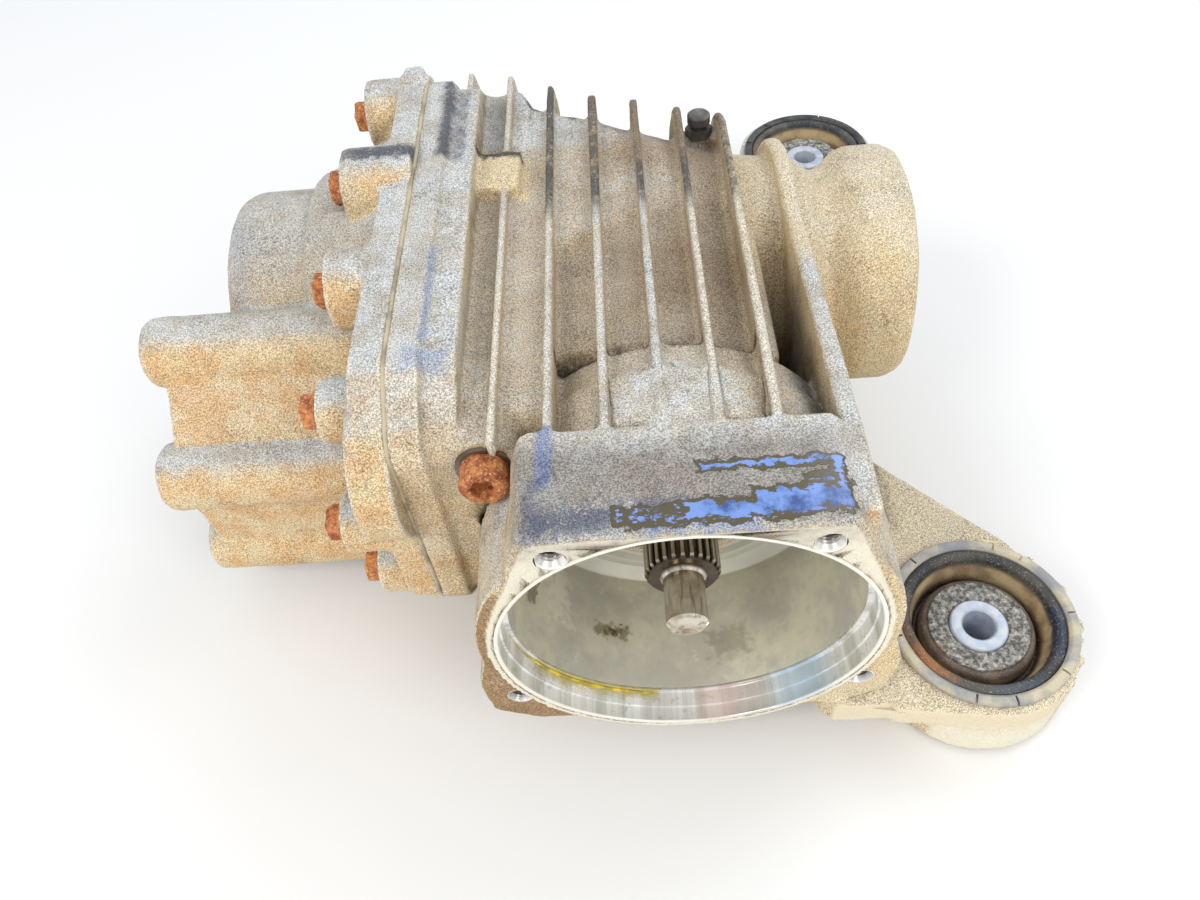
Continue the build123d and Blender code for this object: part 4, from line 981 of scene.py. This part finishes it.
# %% [markdown]
# ## The castings
# Sand casting leaves no sharp edge and no true plane. A copy of each solid is rebuilt as an even skin,
# smoothed a little and pushed in and out by clouds, which rounds all edges at once. The clouds stay off
# the machined places, because a vertex group leaves them out. Then single points are moved by simple
# rules: the skin makes room for the machined ring and the threads, gets its craters and lumps, and is held
# inside the solid's own box. All sizes are in millimetres.

# %% Sizes of the mouth and its holes
MOUTH_R = 65.0
LEAD_R = 65.8
LIP_R = 67.4
STEP_Y = 12.0
CAVITY_R = 63.0
CAVITY_END_R = 60.0
CAVITY_Y = 66.0
HOLE_R = 3.4
HOLES = ((-41.7, 0.0, 59.0), (41.7, 0.0, 59.0), (-64.0, 2.0, -38.0), (64.0, 2.0, -38.0))
VOXEL = 1.3
LUMPS = (("broad", 26.0, 1.0, 0.5), ("pitted", 6.0, 0.55, 0.55), ("gritty", 2.6, 0.34, 0.55))
INSET = 0.02


# %% Move points by a rule
def moved_points(piece, rule):
    """rule takes a point and its normal in millimetres and returns the point's new place."""
    mesh = piece.data
    normals = [v.normal.copy() for v in mesh.vertices]
    for v, normal in zip(mesh.vertices, normals):
        v.co = Vector(rule(v.co / MM, normal)) * MM
    mesh.update()
    return piece


def round_group(piece, calm):
    """A vertex group that is 1 where the casting is rough and 0 where calm says that it is machined."""
    group = piece.vertex_groups.new(name="rough")
    rough = [v.index for v in piece.data.vertices if not calm(v.co / MM)]
    group.add(rough, 1.0, "REPLACE")
    return group.name


def block(low, high):
    """A plain block between two corners, to be melted into a skin."""
    bpy.ops.object.select_all(action="DESELECT")
    bpy.ops.mesh.primitive_cube_add(
        size=MM, location=[(low[i] + high[i]) / 2 * MM for i in range(3)],
        scale=[high[i] - low[i] for i in range(3)],
    )
    bpy.ops.object.transform_apply(location=True, rotation=True, scale=True)
    return bpy.context.active_object


def ball(at, radius):
    """A ball to be melted into a skin."""
    bpy.ops.object.select_all(action="DESELECT")
    bpy.ops.mesh.primitive_ico_sphere_add(subdivisions=4, radius=radius * MM, location=[v * MM for v in at])
    bpy.ops.object.transform_apply(location=True, rotation=True, scale=True)
    return bpy.context.active_object


def cast_skin(node, name, most, calm, rule, melted=()):
    """A solid's copy, with extra pieces melted in, as rough casting of at most so many triangles."""
    piece = even_skin(joined([own_copy(node, name), *melted], name), VOXEL, 2)
    thinned(piece, most)
    clouded(piece, LUMPS, round_group(piece, calm))
    low, high = [[v / MM for v in corner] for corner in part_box(node)]
    moved_points(piece, rule)
    moved_points(piece, lambda p, n: [min(max(p[i], low[i] + INSET), high[i] - INSET) for i in range(3)])
    return piece


# %% Craters and lumps: (middle, radius, height)
MARKS = (
    ((-68.5, 122, 62), 4.5, -1.6), ((-71, 131, 62), 3.2, -1.2), ((-66, 68, 60), 7.5, 2.2),
    ((-60, 64, 58), 3.0, -1.8), ((-70, 60, 56), 4.0, 1.4), ((-38, 128, 60), 5.0, -0.9),
    ((-128, 120, 52), 5.0, -0.8), ((-104, 116, 60), 4.0, 0.9), ((-90, 96, 79), 4.0, -0.9),
    ((112, 110, 20), 9.0, 1.0), ((96, 150, 44), 6.0, -0.8), ((64, 150, 50), 4.0, 1.2),
)


def marked(p, n):
    """Push a point along its normal where a crater or a lump lies."""
    for middle, radius, height in MARKS:
        far = (p - Vector(middle)).length / radius
        if far < 1:
            p = p + n * height * (1 - far * far) ** 2
    return p


# %% [markdown]
# ### Where the housing isn't rough casting
# The mouth's bore and face, the threads and the bushings' bores were machined. The skin steps back behind
# the turned pieces that stand for those surfaces, lies flat on the face, and opens round each hole. The
# front eye's rim is the opposite: its flash was broken off by hand, so waves of three lengths bite it.

# %% Machined or rough
EYES = ((122.7, 33.6), (104.5, 367.0))
EYE_R = 41.0
BLOCK_X = 80.0
FACE_Y = 1.2
SKIN_ROOM = 1.5
FLOOR_ROOM = 1.4


def round_mouth(p, across):
    """Near the bore or the cavity, across being the distance from their axis."""
    return p.y < CAVITY_Y + 3 and across < LEAD_R + SKIN_ROOM


def on_face(p):
    """In the mouth's face; the front eye, past BLOCK_X, reaches as far forward but is rough."""
    return p.y < FACE_Y and p.x < BLOCK_X


def housing_calm(p):
    """The mouth, its face and the bushings' bores are machined."""
    if round_mouth(p, math.hypot(p.x, p.z)) or on_face(p):
        return True
    return any(math.hypot(p.x - x, p.y - y) < EYE_R - 3 for x, y in EYES)


# %% Room for the turned pieces
def behind_mouth(p, across):
    """The cavity's floor moves back, and its wall and the bore move outwards."""
    if p.y > FLOOR_Y and across < 57.5:
        return Vector((p.x, p.y + FLOOR_ROOM, p.z))
    if across > 50:
        share = (across + SKIN_ROOM) / across
        return Vector((p.x * share, p.y, p.z * share))
    return p


def round_holes(p):
    """Points in a flange hole move out to its thread's outer side."""
    for x, y, z in HOLES:
        far = math.hypot(p.x - x, p.z - z)
        if 0.01 < far < HOLE_R + 1.8:
            share = (HOLE_R + 1.8) / far
            return Vector((x + (p.x - x) * share, p.y, z + (p.z - z) * share))
    return p


# %% The broken rim of the front eye
BITTEN_Z = (-80, -59)
BITTEN_TURN = (-45, 80)


def bitten_rim(p):
    """Push the rim inwards by waves of its turn about the eye, in degrees."""
    x, y = EYES[0]
    far = math.hypot(p.x - x, p.y - y)
    turn = math.degrees(math.atan2(p.y - y, p.x - x))
    if not (EYE_R - 5 < far < EYE_R + 1 and BITTEN_Z[0] < p.z < BITTEN_Z[1]
            and BITTEN_TURN[0] < turn < BITTEN_TURN[1]):
        return p
    bite = math.sin(turn * 0.23) + 0.8 * math.sin(turn * 0.51 + 1)
    bite += 0.6 * math.sin(turn * 0.93 + p.z * 0.5)
    share = 1 - max(0.0, 1.4 + bite) * min(1.0, (far - EYE_R + 5) / 4) / far
    return Vector((x + (p.x - x) * share, y + (p.y - y) * share, p.z))


# %% All rules of the housing
UNDER_LIP_Y = 0.6
BESIDE_LIP_Y = 0.03


def housing_rule(p, n):
    """Room for the turned pieces, a flat face, open holes, the broken rim, then craters and lumps."""
    across = math.hypot(p.x, p.z)
    if round_mouth(p, across):
        p = behind_mouth(p, across)
    if on_face(p) and n.y < -0.3:
        p = Vector((p.x, UNDER_LIP_Y if across < LIP_R + 0.3 else BESIDE_LIP_Y, p.z))
    if p.y < 24:
        p = round_holes(p)
    return marked(bitten_rim(p), n)


# %% [markdown]
# ### What the solids leave out of the housing
# On the real housing the bell over the pinion runs forward between the fins, nearly to the mouth's block,
# and the bar beside the second bolt boss reaches further back. Metal has also run together in the corner
# beside the fill plug. These are laid in as blocks and balls, and the remesh melts them into the skin.

# %% Bell, bar and corner
BELL_LOW, BELL_HIGH = (-43, 88, 32), (41, 176, 58)
BELL_CREST_X = -14
BELL_FALL = 260
BAR_LOW, BAR_HIGH = (-95, 173.5, 50), (-54, 198.5, 68.8)


def falling_roof(p, n):
    """The top sinks with the square of the distance from the crest; the foot stays."""
    height = (p.z - BELL_LOW[2]) / (BELL_HIGH[2] - BELL_LOW[2])
    return p.x, p.y, p.z - (p.x - BELL_CREST_X) ** 2 / BELL_FALL * height


bell = moved_points(even_skin(block(BELL_LOW, BELL_HIGH), 3.0, 0), falling_roof)
corner = [ball((-73, 55, 26), 10), ball((-71, 52, 37), 9)]
print("melted in: bell", len(bell.data.polygons), "faces, a bar and", len(corner), "balls")

# %% Both casting skins
housing_skin = cast_skin(
    "main_housing", "housing_casting_skin", 192000, housing_calm, housing_rule,
    melted=[bell, block(BAR_LOW, BAR_HIGH), *corner],
)
dress(housing_skin, cast_housing, replaces=("main_housing",))
cover_skin = cast_skin("side_cover", "cover_casting_skin", 150000, lambda p: False, marked)
dress(cover_skin, cast_cover, replaces=("side_cover",))

# %% [markdown]
# ## Sealant in the joint
# Between housing and cover a line of old sealant has been squeezed out. The gasket's own solid is made a
# little fatter along its normals, more up and down than sideways, and given a soft uneven skin.

# %% Squeezed sealant
sealant = own_copy("cover_gasket", "sealant_bead")
moved_points(sealant, lambda p, n: p + Vector((0.5 * n.x, 1.3 * n.y, 1.3 * n.z)))
even_skin(sealant, 0.8, 1)
clouded(sealant, (("squeezed", 7.0, 0.7, 0.5),))
dress(thinned(sealant, 60000), gasket, replaces=("cover_gasket",))

# %% [markdown]
# ## The machined mouth
# Inside the soft casting skin sits what the lathe left: the bright lip, the bore with its step, and the
# cavity with a raised ring round the shaft seal. Both are turned from their section and lie on the solid's
# own surfaces, so the mouth measures what the drawing says.

# %% Lip, bore and cavity
lip = turned("mouth_ring", [
    (0.0, LEAD_R + 0.4), (0.4, LEAD_R), (6.0, LEAD_R), (6.0, MOUTH_R), (STEP_Y, MOUTH_R), (STEP_Y, CAVITY_R),
    (STEP_Y + 1.2, CAVITY_R), (STEP_Y + 1.2, LEAD_R + 1.8), (0.0, LIP_R),
], sides=192, edge=0.18)
settle(lip, turn=(-90, 0, 0))
dress(lip, mouth_metal)
cavity = turned("cavity_wall", [
    (STEP_Y + 0.8, CAVITY_R + 0.05), (61.0, CAVITY_END_R), (CAVITY_Y, CAVITY_END_R - 4), (CAVITY_Y, 53),
    (63.0, 52), (63.0, 48), (CAVITY_Y, 47), (CAVITY_Y, 38.2), (67.3, 38.2), (67.3, 57.5), (62.0, 61.6),
    (STEP_Y + 0.8, CAVITY_R + 1.4),
], sides=192, edge=0.3)
settle(cavity, turn=(-90, 0, 0))
dress(cavity, cavity_metal)

# %% [markdown]
# ## Threads in the four flange holes
# Each hole shows a few turns of thread below its countersink. Rings of the right pitch look like a thread
# from outside, so the section is a row of teeth turned about the hole's axis, made once and copied.

# %% Threaded holes
PITCH = 1.25
TURNS = 10
THREAD_START = 1.5
THREAD_END = 16.0
section = [(0.1, HOLE_R + 2.0), (0.1, HOLE_R + 1.5), (THREAD_START, HOLE_R + 0.45)]
for i in range(TURNS):
    section += [(THREAD_START + PITCH * (i + 0.5), HOLE_R), (THREAD_START + PITCH * (i + 1), HOLE_R + 0.6)]
section += [(THREAD_END, HOLE_R + 0.6), (THREAD_END, HOLE_R + 2.0)]
thread = turned("thread", section, sides=40, edge=0)
for i, hole in enumerate(HOLES):
    piece = bpy.data.objects.new(f"flange_thread_{i + 1}", thread.data.copy())
    bpy.context.collection.objects.link(piece)
    settle(piece, at=hole, turn=(-90, 0, 0))
    dress(piece, thread_metal)
bpy.data.objects.remove(thread)

# %% [markdown]
# ## Oil left in the mouth
# A bead of yellow oil lies on the step along the lower left of the bore. It is a thin tube along an arc,
# fat in its middle and fine at its ends.

# %% Oil bead
BEAD_POINTS = 40
BEAD_START, BEAD_SWEEP = 186, 72
BEAD_REACH = MOUTH_R - 0.5
bead_curve = bpy.data.curves.new("oil_bead", "CURVE")
bead_curve.dimensions = "3D"
bead_curve.bevel_depth = 0.9 * MM
bead_curve.bevel_resolution = 3
bead_line = bead_curve.splines.new("POLY")
bead_line.points.add(BEAD_POINTS - 1)
for i, point in enumerate(bead_line.points):
    share = i / (BEAD_POINTS - 1)
    turn = math.radians(BEAD_START + BEAD_SWEEP * share)
    x, y, z = BEAD_REACH * math.cos(turn), STEP_Y - 0.5, BEAD_REACH * math.sin(turn)
    point.co = (x * MM, y * MM, z * MM, 1)
    point.radius = 0.15 + math.sin(math.pi * share ** 1.6) * (0.7 + 0.3 * math.sin(share * 31))
bead_tube = bpy.data.objects.new("bead_tube", bead_curve)
bead = bpy.data.objects.new("oil_bead", bpy.data.meshes.new_from_object(bead_tube))
bpy.data.objects.remove(bead_tube)
bpy.context.collection.objects.link(bead)
alone(bead)
bpy.ops.object.mode_set(mode="EDIT")
bpy.ops.mesh.select_all(action="DESELECT")
bpy.ops.mesh.select_mode(type="EDGE")
bpy.ops.mesh.select_non_manifold()
bpy.ops.mesh.edge_face_add()
bpy.ops.mesh.select_all(action="SELECT")
bpy.ops.mesh.normals_make_consistent(inside=False)
bpy.ops.object.mode_set(mode="OBJECT")
bpy.ops.object.shade_smooth()
dress(bead, oil_yellow)

# %% [markdown]
# ## Rusty bolts and plugs
# The cover's ten flanged hexagon bolts are alike, so one head is modelled and copied, each copy turned by
# a different angle. The head is a hexagon on a turned flange. Its rust is real relief: the joined shape is
# remeshed finely and pushed by clouds. The plugs are round heads with a six-lobed socket cut by a boolean.

# %% One bolt head about Z
BOLT_FLATS = 13.0
BOLT_HEAD = 7.0
BOLT_FLANGE_R = 9.0
BOLT_COLLAR = 0.6
BOLT_VOXEL = 0.42
RUST = (("scale", 3.2, 0.7, 0.62), ("flake", 1.1, 0.3, 0.6))


def rusted(piece, most):
    """A fine skin of rust, with at most so many triangles."""
    even_skin(piece, BOLT_VOXEL, 1)
    clouded(piece, RUST)
    return thinned(piece, most)


flange = turned("bolt_head", [
    (-2.0, 4.0), (0.0, 4.2), (0.0, BOLT_FLANGE_R - 0.1), (0.9, BOLT_FLANGE_R - 0.1), (1.9, 7.4), (2.4, 5.0),
], sides=48, ring=False, edge=0.3)
bpy.ops.object.select_all(action="DESELECT")
bpy.ops.mesh.primitive_cylinder_add(
    vertices=6, radius=BOLT_FLATS / 2 / math.cos(math.pi / 6) * MM, depth=(BOLT_HEAD - BOLT_COLLAR) * MM,
    location=(0, 0, (BOLT_HEAD + BOLT_COLLAR) / 2 * MM),
)
hexagon = bpy.context.active_object
rim = hexagon.modifiers.new("rim", "BEVEL")
rim.width = 0.9 * MM
rim.segments = 2
apply_all(baked(hexagon))
head = rusted(joined([flange, hexagon], "bolt_head"), 6000)
head_mesh = head.data.copy()
bpy.data.objects.remove(head)
print("bolt head:", len(head_mesh.polygons), "faces")


# %% Where the bolts sit: each loose solid of the node is one bolt
def solids_of(node):
    """The lowest and highest corner of each loose solid in a node, in millimetres."""
    scratch = bmesh.new()
    scratch.from_mesh(nodes[node].data)
    bmesh.ops.remove_doubles(scratch, verts=scratch.verts, dist=0.00001)
    left = set(scratch.verts)
    boxes = []
    while left:
        reached = [left.pop()]
        for vert in reached:
            for link in vert.link_edges:
                other = link.other_vert(vert)
                if other in left:
                    left.remove(other)
                    reached.append(other)
        places = [v.co / MM for v in reached]
        boxes.append(tuple([pick(p[i] for p in places) for i in range(3)] for pick in (min, max)))
    scratch.free()
    return sorted(boxes)


print("cover bolts:", len(solids_of("cover_bolts")))

# %% The bolts, each turned by chance
SEAT_GAP = 0.02
draw = random.Random(5)
for i, (low, high) in enumerate(solids_of("cover_bolts")):
    bolt = bpy.data.objects.new(f"cover_bolt_{i + 1}", head_mesh.copy())
    bpy.context.collection.objects.link(bolt)
    settle(bolt, turn=(0, 0, draw.uniform(0, 60)))
    seat = (low[0] + BOLT_HEAD + SEAT_GAP, (low[1] + high[1]) / 2, (low[2] + high[2]) / 2)
    settle(bolt, at=seat, turn=(0, -90, 0))
    dress(bolt, rusty, replaces=("cover_bolts",) if i == 0 else ())

# %% Plugs with a six-lobed socket
PLUG_R = 8.6
PLUG_HEIGHT = 10.5
SOCKET_R = 5.0
SOCKET_DEPTH = 5.5
LOBES = 6


def make_plug(name):
    """A round head about Z; its socket is a many-sided bar with its side pulled into lobes."""
    plug = turned(name, [
        (0.0, 6.0), (0.1, PLUG_R - 0.2), (PLUG_HEIGHT - 1.0, PLUG_R - 0.1),
        (PLUG_HEIGHT - 0.05, PLUG_R - 1.1),
    ], sides=64, ring=False, edge=0.4)
    bpy.ops.object.select_all(action="DESELECT")
    bpy.ops.mesh.primitive_cylinder_add(
        vertices=24, radius=SOCKET_R * MM, depth=2 * SOCKET_DEPTH * MM, location=(0, 0, PLUG_HEIGHT * MM),
    )
    star = baked(bpy.context.active_object)
    for v in star.data.vertices:
        turn = math.atan2(v.co.y, v.co.x)
        share = 0.84 + 0.16 * math.cos(turn * LOBES)
        v.co.x, v.co.y = v.co.x * share, v.co.y * share
    return rusted(cut_away(plug, star), 14000)


# The fill plug's head faces forward, along -Y, and the drain plug's faces down, along -Z
for node, turn, head_at in (("fill_plug", (90, 0, 0), 1), ("drain_plug", (180, 0, 0), 2)):
    (low, high), = solids_of(node)
    at = [(low[i] + high[i]) / 2 for i in range(3)]
    at[head_at] = low[head_at] + PLUG_HEIGHT + SEAT_GAP
    dress(settle(make_plug(node + "_rusted"), at=at, turn=turn), rusty, replaces=(node,))

# %% [markdown]
# ## The bushings
# Each bushing is a sleeve with a collar split into segments, a rubber body with a rolled lip and a deep
# groove, and a pale core with a bolt hole. All three are turned from their sections about a vertical axis;
# the collar's splits are cut by a ring of small blocks.

# %% Bushing sections: heights are the part's own z, radii are from the bushing's axis
EYE_TOP = -60.0
EYE_LOW = -94.0
COLLAR_TOP = -57.5
COLLAR_R = 38.0
SLEEVE_R = 35.5
SLEEVE = (
    (EYE_LOW, 33.3), (EYE_LOW, SLEEVE_R), (EYE_TOP, SLEEVE_R), (EYE_TOP, COLLAR_R), (-58.3, COLLAR_R),
    (COLLAR_TOP, 37.2), (COLLAR_TOP, 34.6), (-58.4, 33.3),
)
RUBBER_BODY = (
    (-92.0, 13.0), (-93.0, 22.0), (-92.0, 33.2), (-60.0, 33.2), (-59.0, 33.0), (-58.4, 32.3), (-58.1, 31.2),
    (-58.2, 30.0), (-58.8, 29.0), (-59.8, 28.4), (-62.0, 28.0), (-67.0, 26.6), (-72.0, 25.6), (-74.0, 24.8),
    (-74.0, 23.8), (-67.5, 23.0), (-66.4, 22.6), (-65.6, 21.8), (-65.2, 20.9), (-64.3, 20.4), (-64.1, 19.6),
    (-64.1, 13.0), (-64.8, 12.0), (-88.0, 12.0),
)
CORE = ((-97.3, 6.6), (-97.3, 11.8), (-64.2, 11.8), (-63.5, 11.2), (-63.5, 7.4), (-64.2, 6.6))

# %% The collar's splits
SPLITS = 9
SPLIT_R = 36.4
SPLIT_SIZE = (4.2, 0.9, 3.4)


def split_cutters():
    """Small blocks round the collar, at uneven turns, as one object."""
    blocks = []
    for i in range(SPLITS):
        turn = math.tau * (i + 0.3 * math.sin(i * 2.3)) / SPLITS
        bpy.ops.mesh.primitive_cube_add(
            size=1, location=(SPLIT_R * MM * math.cos(turn), SPLIT_R * MM * math.sin(turn), COLLAR_TOP * MM),
            rotation=(0, 0, turn), scale=[side * MM for side in SPLIT_SIZE],
        )
        blocks.append(bpy.context.active_object)
    return baked(joined(blocks, "splits"))


# %% Both bushings
def make_bushing(label, centre, steel):
    """Sleeve, rubber and core about one vertical axis; steel is the sleeve's finish."""
    sleeve = cut_away(turned(f"{label}_collar", SLEEVE, edge=0.3), split_cutters())
    bpy.ops.object.shade_smooth_by_angle(angle=SMOOTH_BELOW)
    body = turned(f"{label}_rubber_body", RUBBER_BODY, sides=128)
    core = turned(f"{label}_core_ring", CORE, sides=72)
    for piece, material, part in (
        (sleeve, steel, "sleeve"), (body, bushing_finish(f"{label}_rubber_finish", centre), "rubber"),
        (core, core_metal, "core"),
    ):
        dress(settle(piece, at=(*centre, 0)), material, replaces=(f"{label}_{part}",))


make_bushing("front_bushing", EYES[0], sleeve_steel)
make_bushing("rear_bushing", EYES[1], black_steel)

# %% [markdown]
# ## Crumbs of dirt
# A few flakes of leaf and grit stuck in the cavity are flattened and crumpled icospheres, placed by a
# seeded draw.

# %% Crumbs in the cavity
CRUMBS = 16
CRUMB_REACH = CAVITY_R - 1.6
CRUMB_TURN = -118
CRUMB_Y = 36
crumbs = []
for i in range(CRUMBS):
    turn = math.radians(CRUMB_TURN + draw.gauss(0, 2.4))
    along = CRUMB_Y + draw.gauss(0, 1.6)
    bpy.ops.object.select_all(action="DESELECT")
    bpy.ops.mesh.primitive_ico_sphere_add(
        subdivisions=2, radius=draw.uniform(0.5, 1.5) * MM,
        location=(CRUMB_REACH * math.cos(turn) * MM, along * MM, CRUMB_REACH * math.sin(turn) * MM),
        rotation=(draw.uniform(0, 3), draw.uniform(0, 3), draw.uniform(0, 3)),
        scale=(1, draw.uniform(0.4, 0.8), 0.3),
    )
    crumb = baked(bpy.context.active_object)
    for v in crumb.data.vertices:
        v.co += Vector([draw.uniform(-0.15, 0.15) * MM for axis in range(3)])
    crumbs.append(crumb)
leaf_brown = rubber("leaf_brown", paint(112, 100, 62), paint(178, 164, 118))
dress(joined(crumbs, "cavity_crumbs"), leaf_brown)

# %% [markdown]
# ## Light, floor and camera
# The part stands on a white floor in daylight. The world gives a soft light from all round and shows the
# camera plain white. Three round lamps add its direction: a warm strong one in front on the left, a weaker
# one in front on the right, and a broad cool one behind on the right. The camera is where the photographer
# stood: above the mouth, looking down across the fins.

# %% Floor
FLOOR_GAP = 0.0002
scene = bpy.context.scene
scene.view_settings.view_transform = "Standard"
bpy.ops.object.select_all(action="DESELECT")
bpy.ops.mesh.primitive_plane_add(size=12.0, location=(0, 0, cad_low[2] - FLOOR_GAP))
floor = bpy.context.active_object
floor.name = "floor"
floor_paint, _, floor_shader = new_material("floor_white")
floor_shader.inputs["Base Color"].default_value = (0.9, 0.9, 0.9, 1.0)
floor_shader.inputs["Roughness"].default_value = 0.9
floor.data.materials.append(floor_paint)
floor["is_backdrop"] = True
print("floor at", round(floor.location[2], 4))

# %% World: light for the part, plain white for the camera
world = bpy.data.worlds.new("daylight")
scene.world = world
world.use_nodes = True
sky = world.node_tree
rays = sky.nodes.new("ShaderNodeLightPath")
sky_light = sky.nodes["Background"]
sky_light.inputs["Color"].default_value = (0.93, 0.96, 1.0, 1.0)
sky_light.inputs["Strength"].default_value = 0.8
seen = sky.nodes.new("ShaderNodeBackground")
seen.inputs["Color"].default_value = (1.0, 1.0, 1.0, 1.0)
shown = sky.nodes.new("ShaderNodeMixShader")
sky.links.new(rays.outputs["Is Camera Ray"], shown.inputs[0])
sky.links.new(sky_light.outputs[0], shown.inputs[1])
sky.links.new(seen.outputs[0], shown.inputs[2])
sky.links.new(shown.outputs[0], sky.nodes["World Output"].inputs["Surface"])


# %% Lamps
def lamp(name, at, target, size, power, tint):
    """A round area lamp, sizes in metres and power in watts, turned to look at its target."""
    data = bpy.data.lights.new(name, "AREA")
    data.shape = "DISK"
    data.size = size
    data.energy = power
    data.color = tint
    light = bpy.data.objects.new(name, data)
    bpy.context.collection.objects.link(light)
    light.location = at
    light.rotation_euler = (Vector(target) - Vector(at)).to_track_quat("-Z", "Y").to_euler()
    return light


lamp("sun_side", (-0.9, -0.7, 1.2), (-0.02, 0.15, 0), 0.6, 9.0, (1.0, 0.95, 0.86))
lamp("front_side", (0.8, -0.8, 0.9), (0.03, 0.1, 0), 0.8, 4.6, (1.0, 0.96, 0.88))
lamp("sky_side", (0.9, 0.9, 1.3), (0, 0.15, 0), 1.2, 8.0, (0.9, 0.95, 1.0))

# %% [markdown]
# ### Where the camera stood
# Its place, its turn and its lens were worked out from the mouth's circle and the part's long parallel
# edges in the photograph. A camera looks along its own -Z, so that axis is the way ahead turned back.

# %% Camera as the photograph was taken
CAMERA_AT = (-12.896, -152.016, 299.425)
LENS = 28.497
camera_data = bpy.data.cameras.new("camera")
camera_data.lens = LENS
camera_data.sensor_width = 36.0
camera_data.clip_start = 0.01
camera = bpy.data.objects.new("camera", camera_data)
bpy.context.collection.objects.link(camera)
right = Vector((0.997, -0.027, -0.074)).normalized()
ahead = Vector((-0.041, 0.626, -0.779)).normalized()
above = right.cross(ahead).normalized()
right = ahead.cross(above)
camera.matrix_world = Matrix.Translation(Vector(CAMERA_AT) * MM) @ Matrix((
    (right.x, above.x, -ahead.x), (right.y, above.y, -ahead.y), (right.z, above.z, -ahead.z),
)).to_4x4()
scene.camera = camera
print("camera at", [round(v, 3) for v in camera.location])

# %% [markdown]
# ## Sizes and the end
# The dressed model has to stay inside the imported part's box, so both boxes are written down.

# %% Write both boxes and finish
low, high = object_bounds()
print("packed box", [round(v, 4) for v in (*cad_low, *cad_high)])
print("dressed box", [round(v, 4) for v in (*low, *high)])
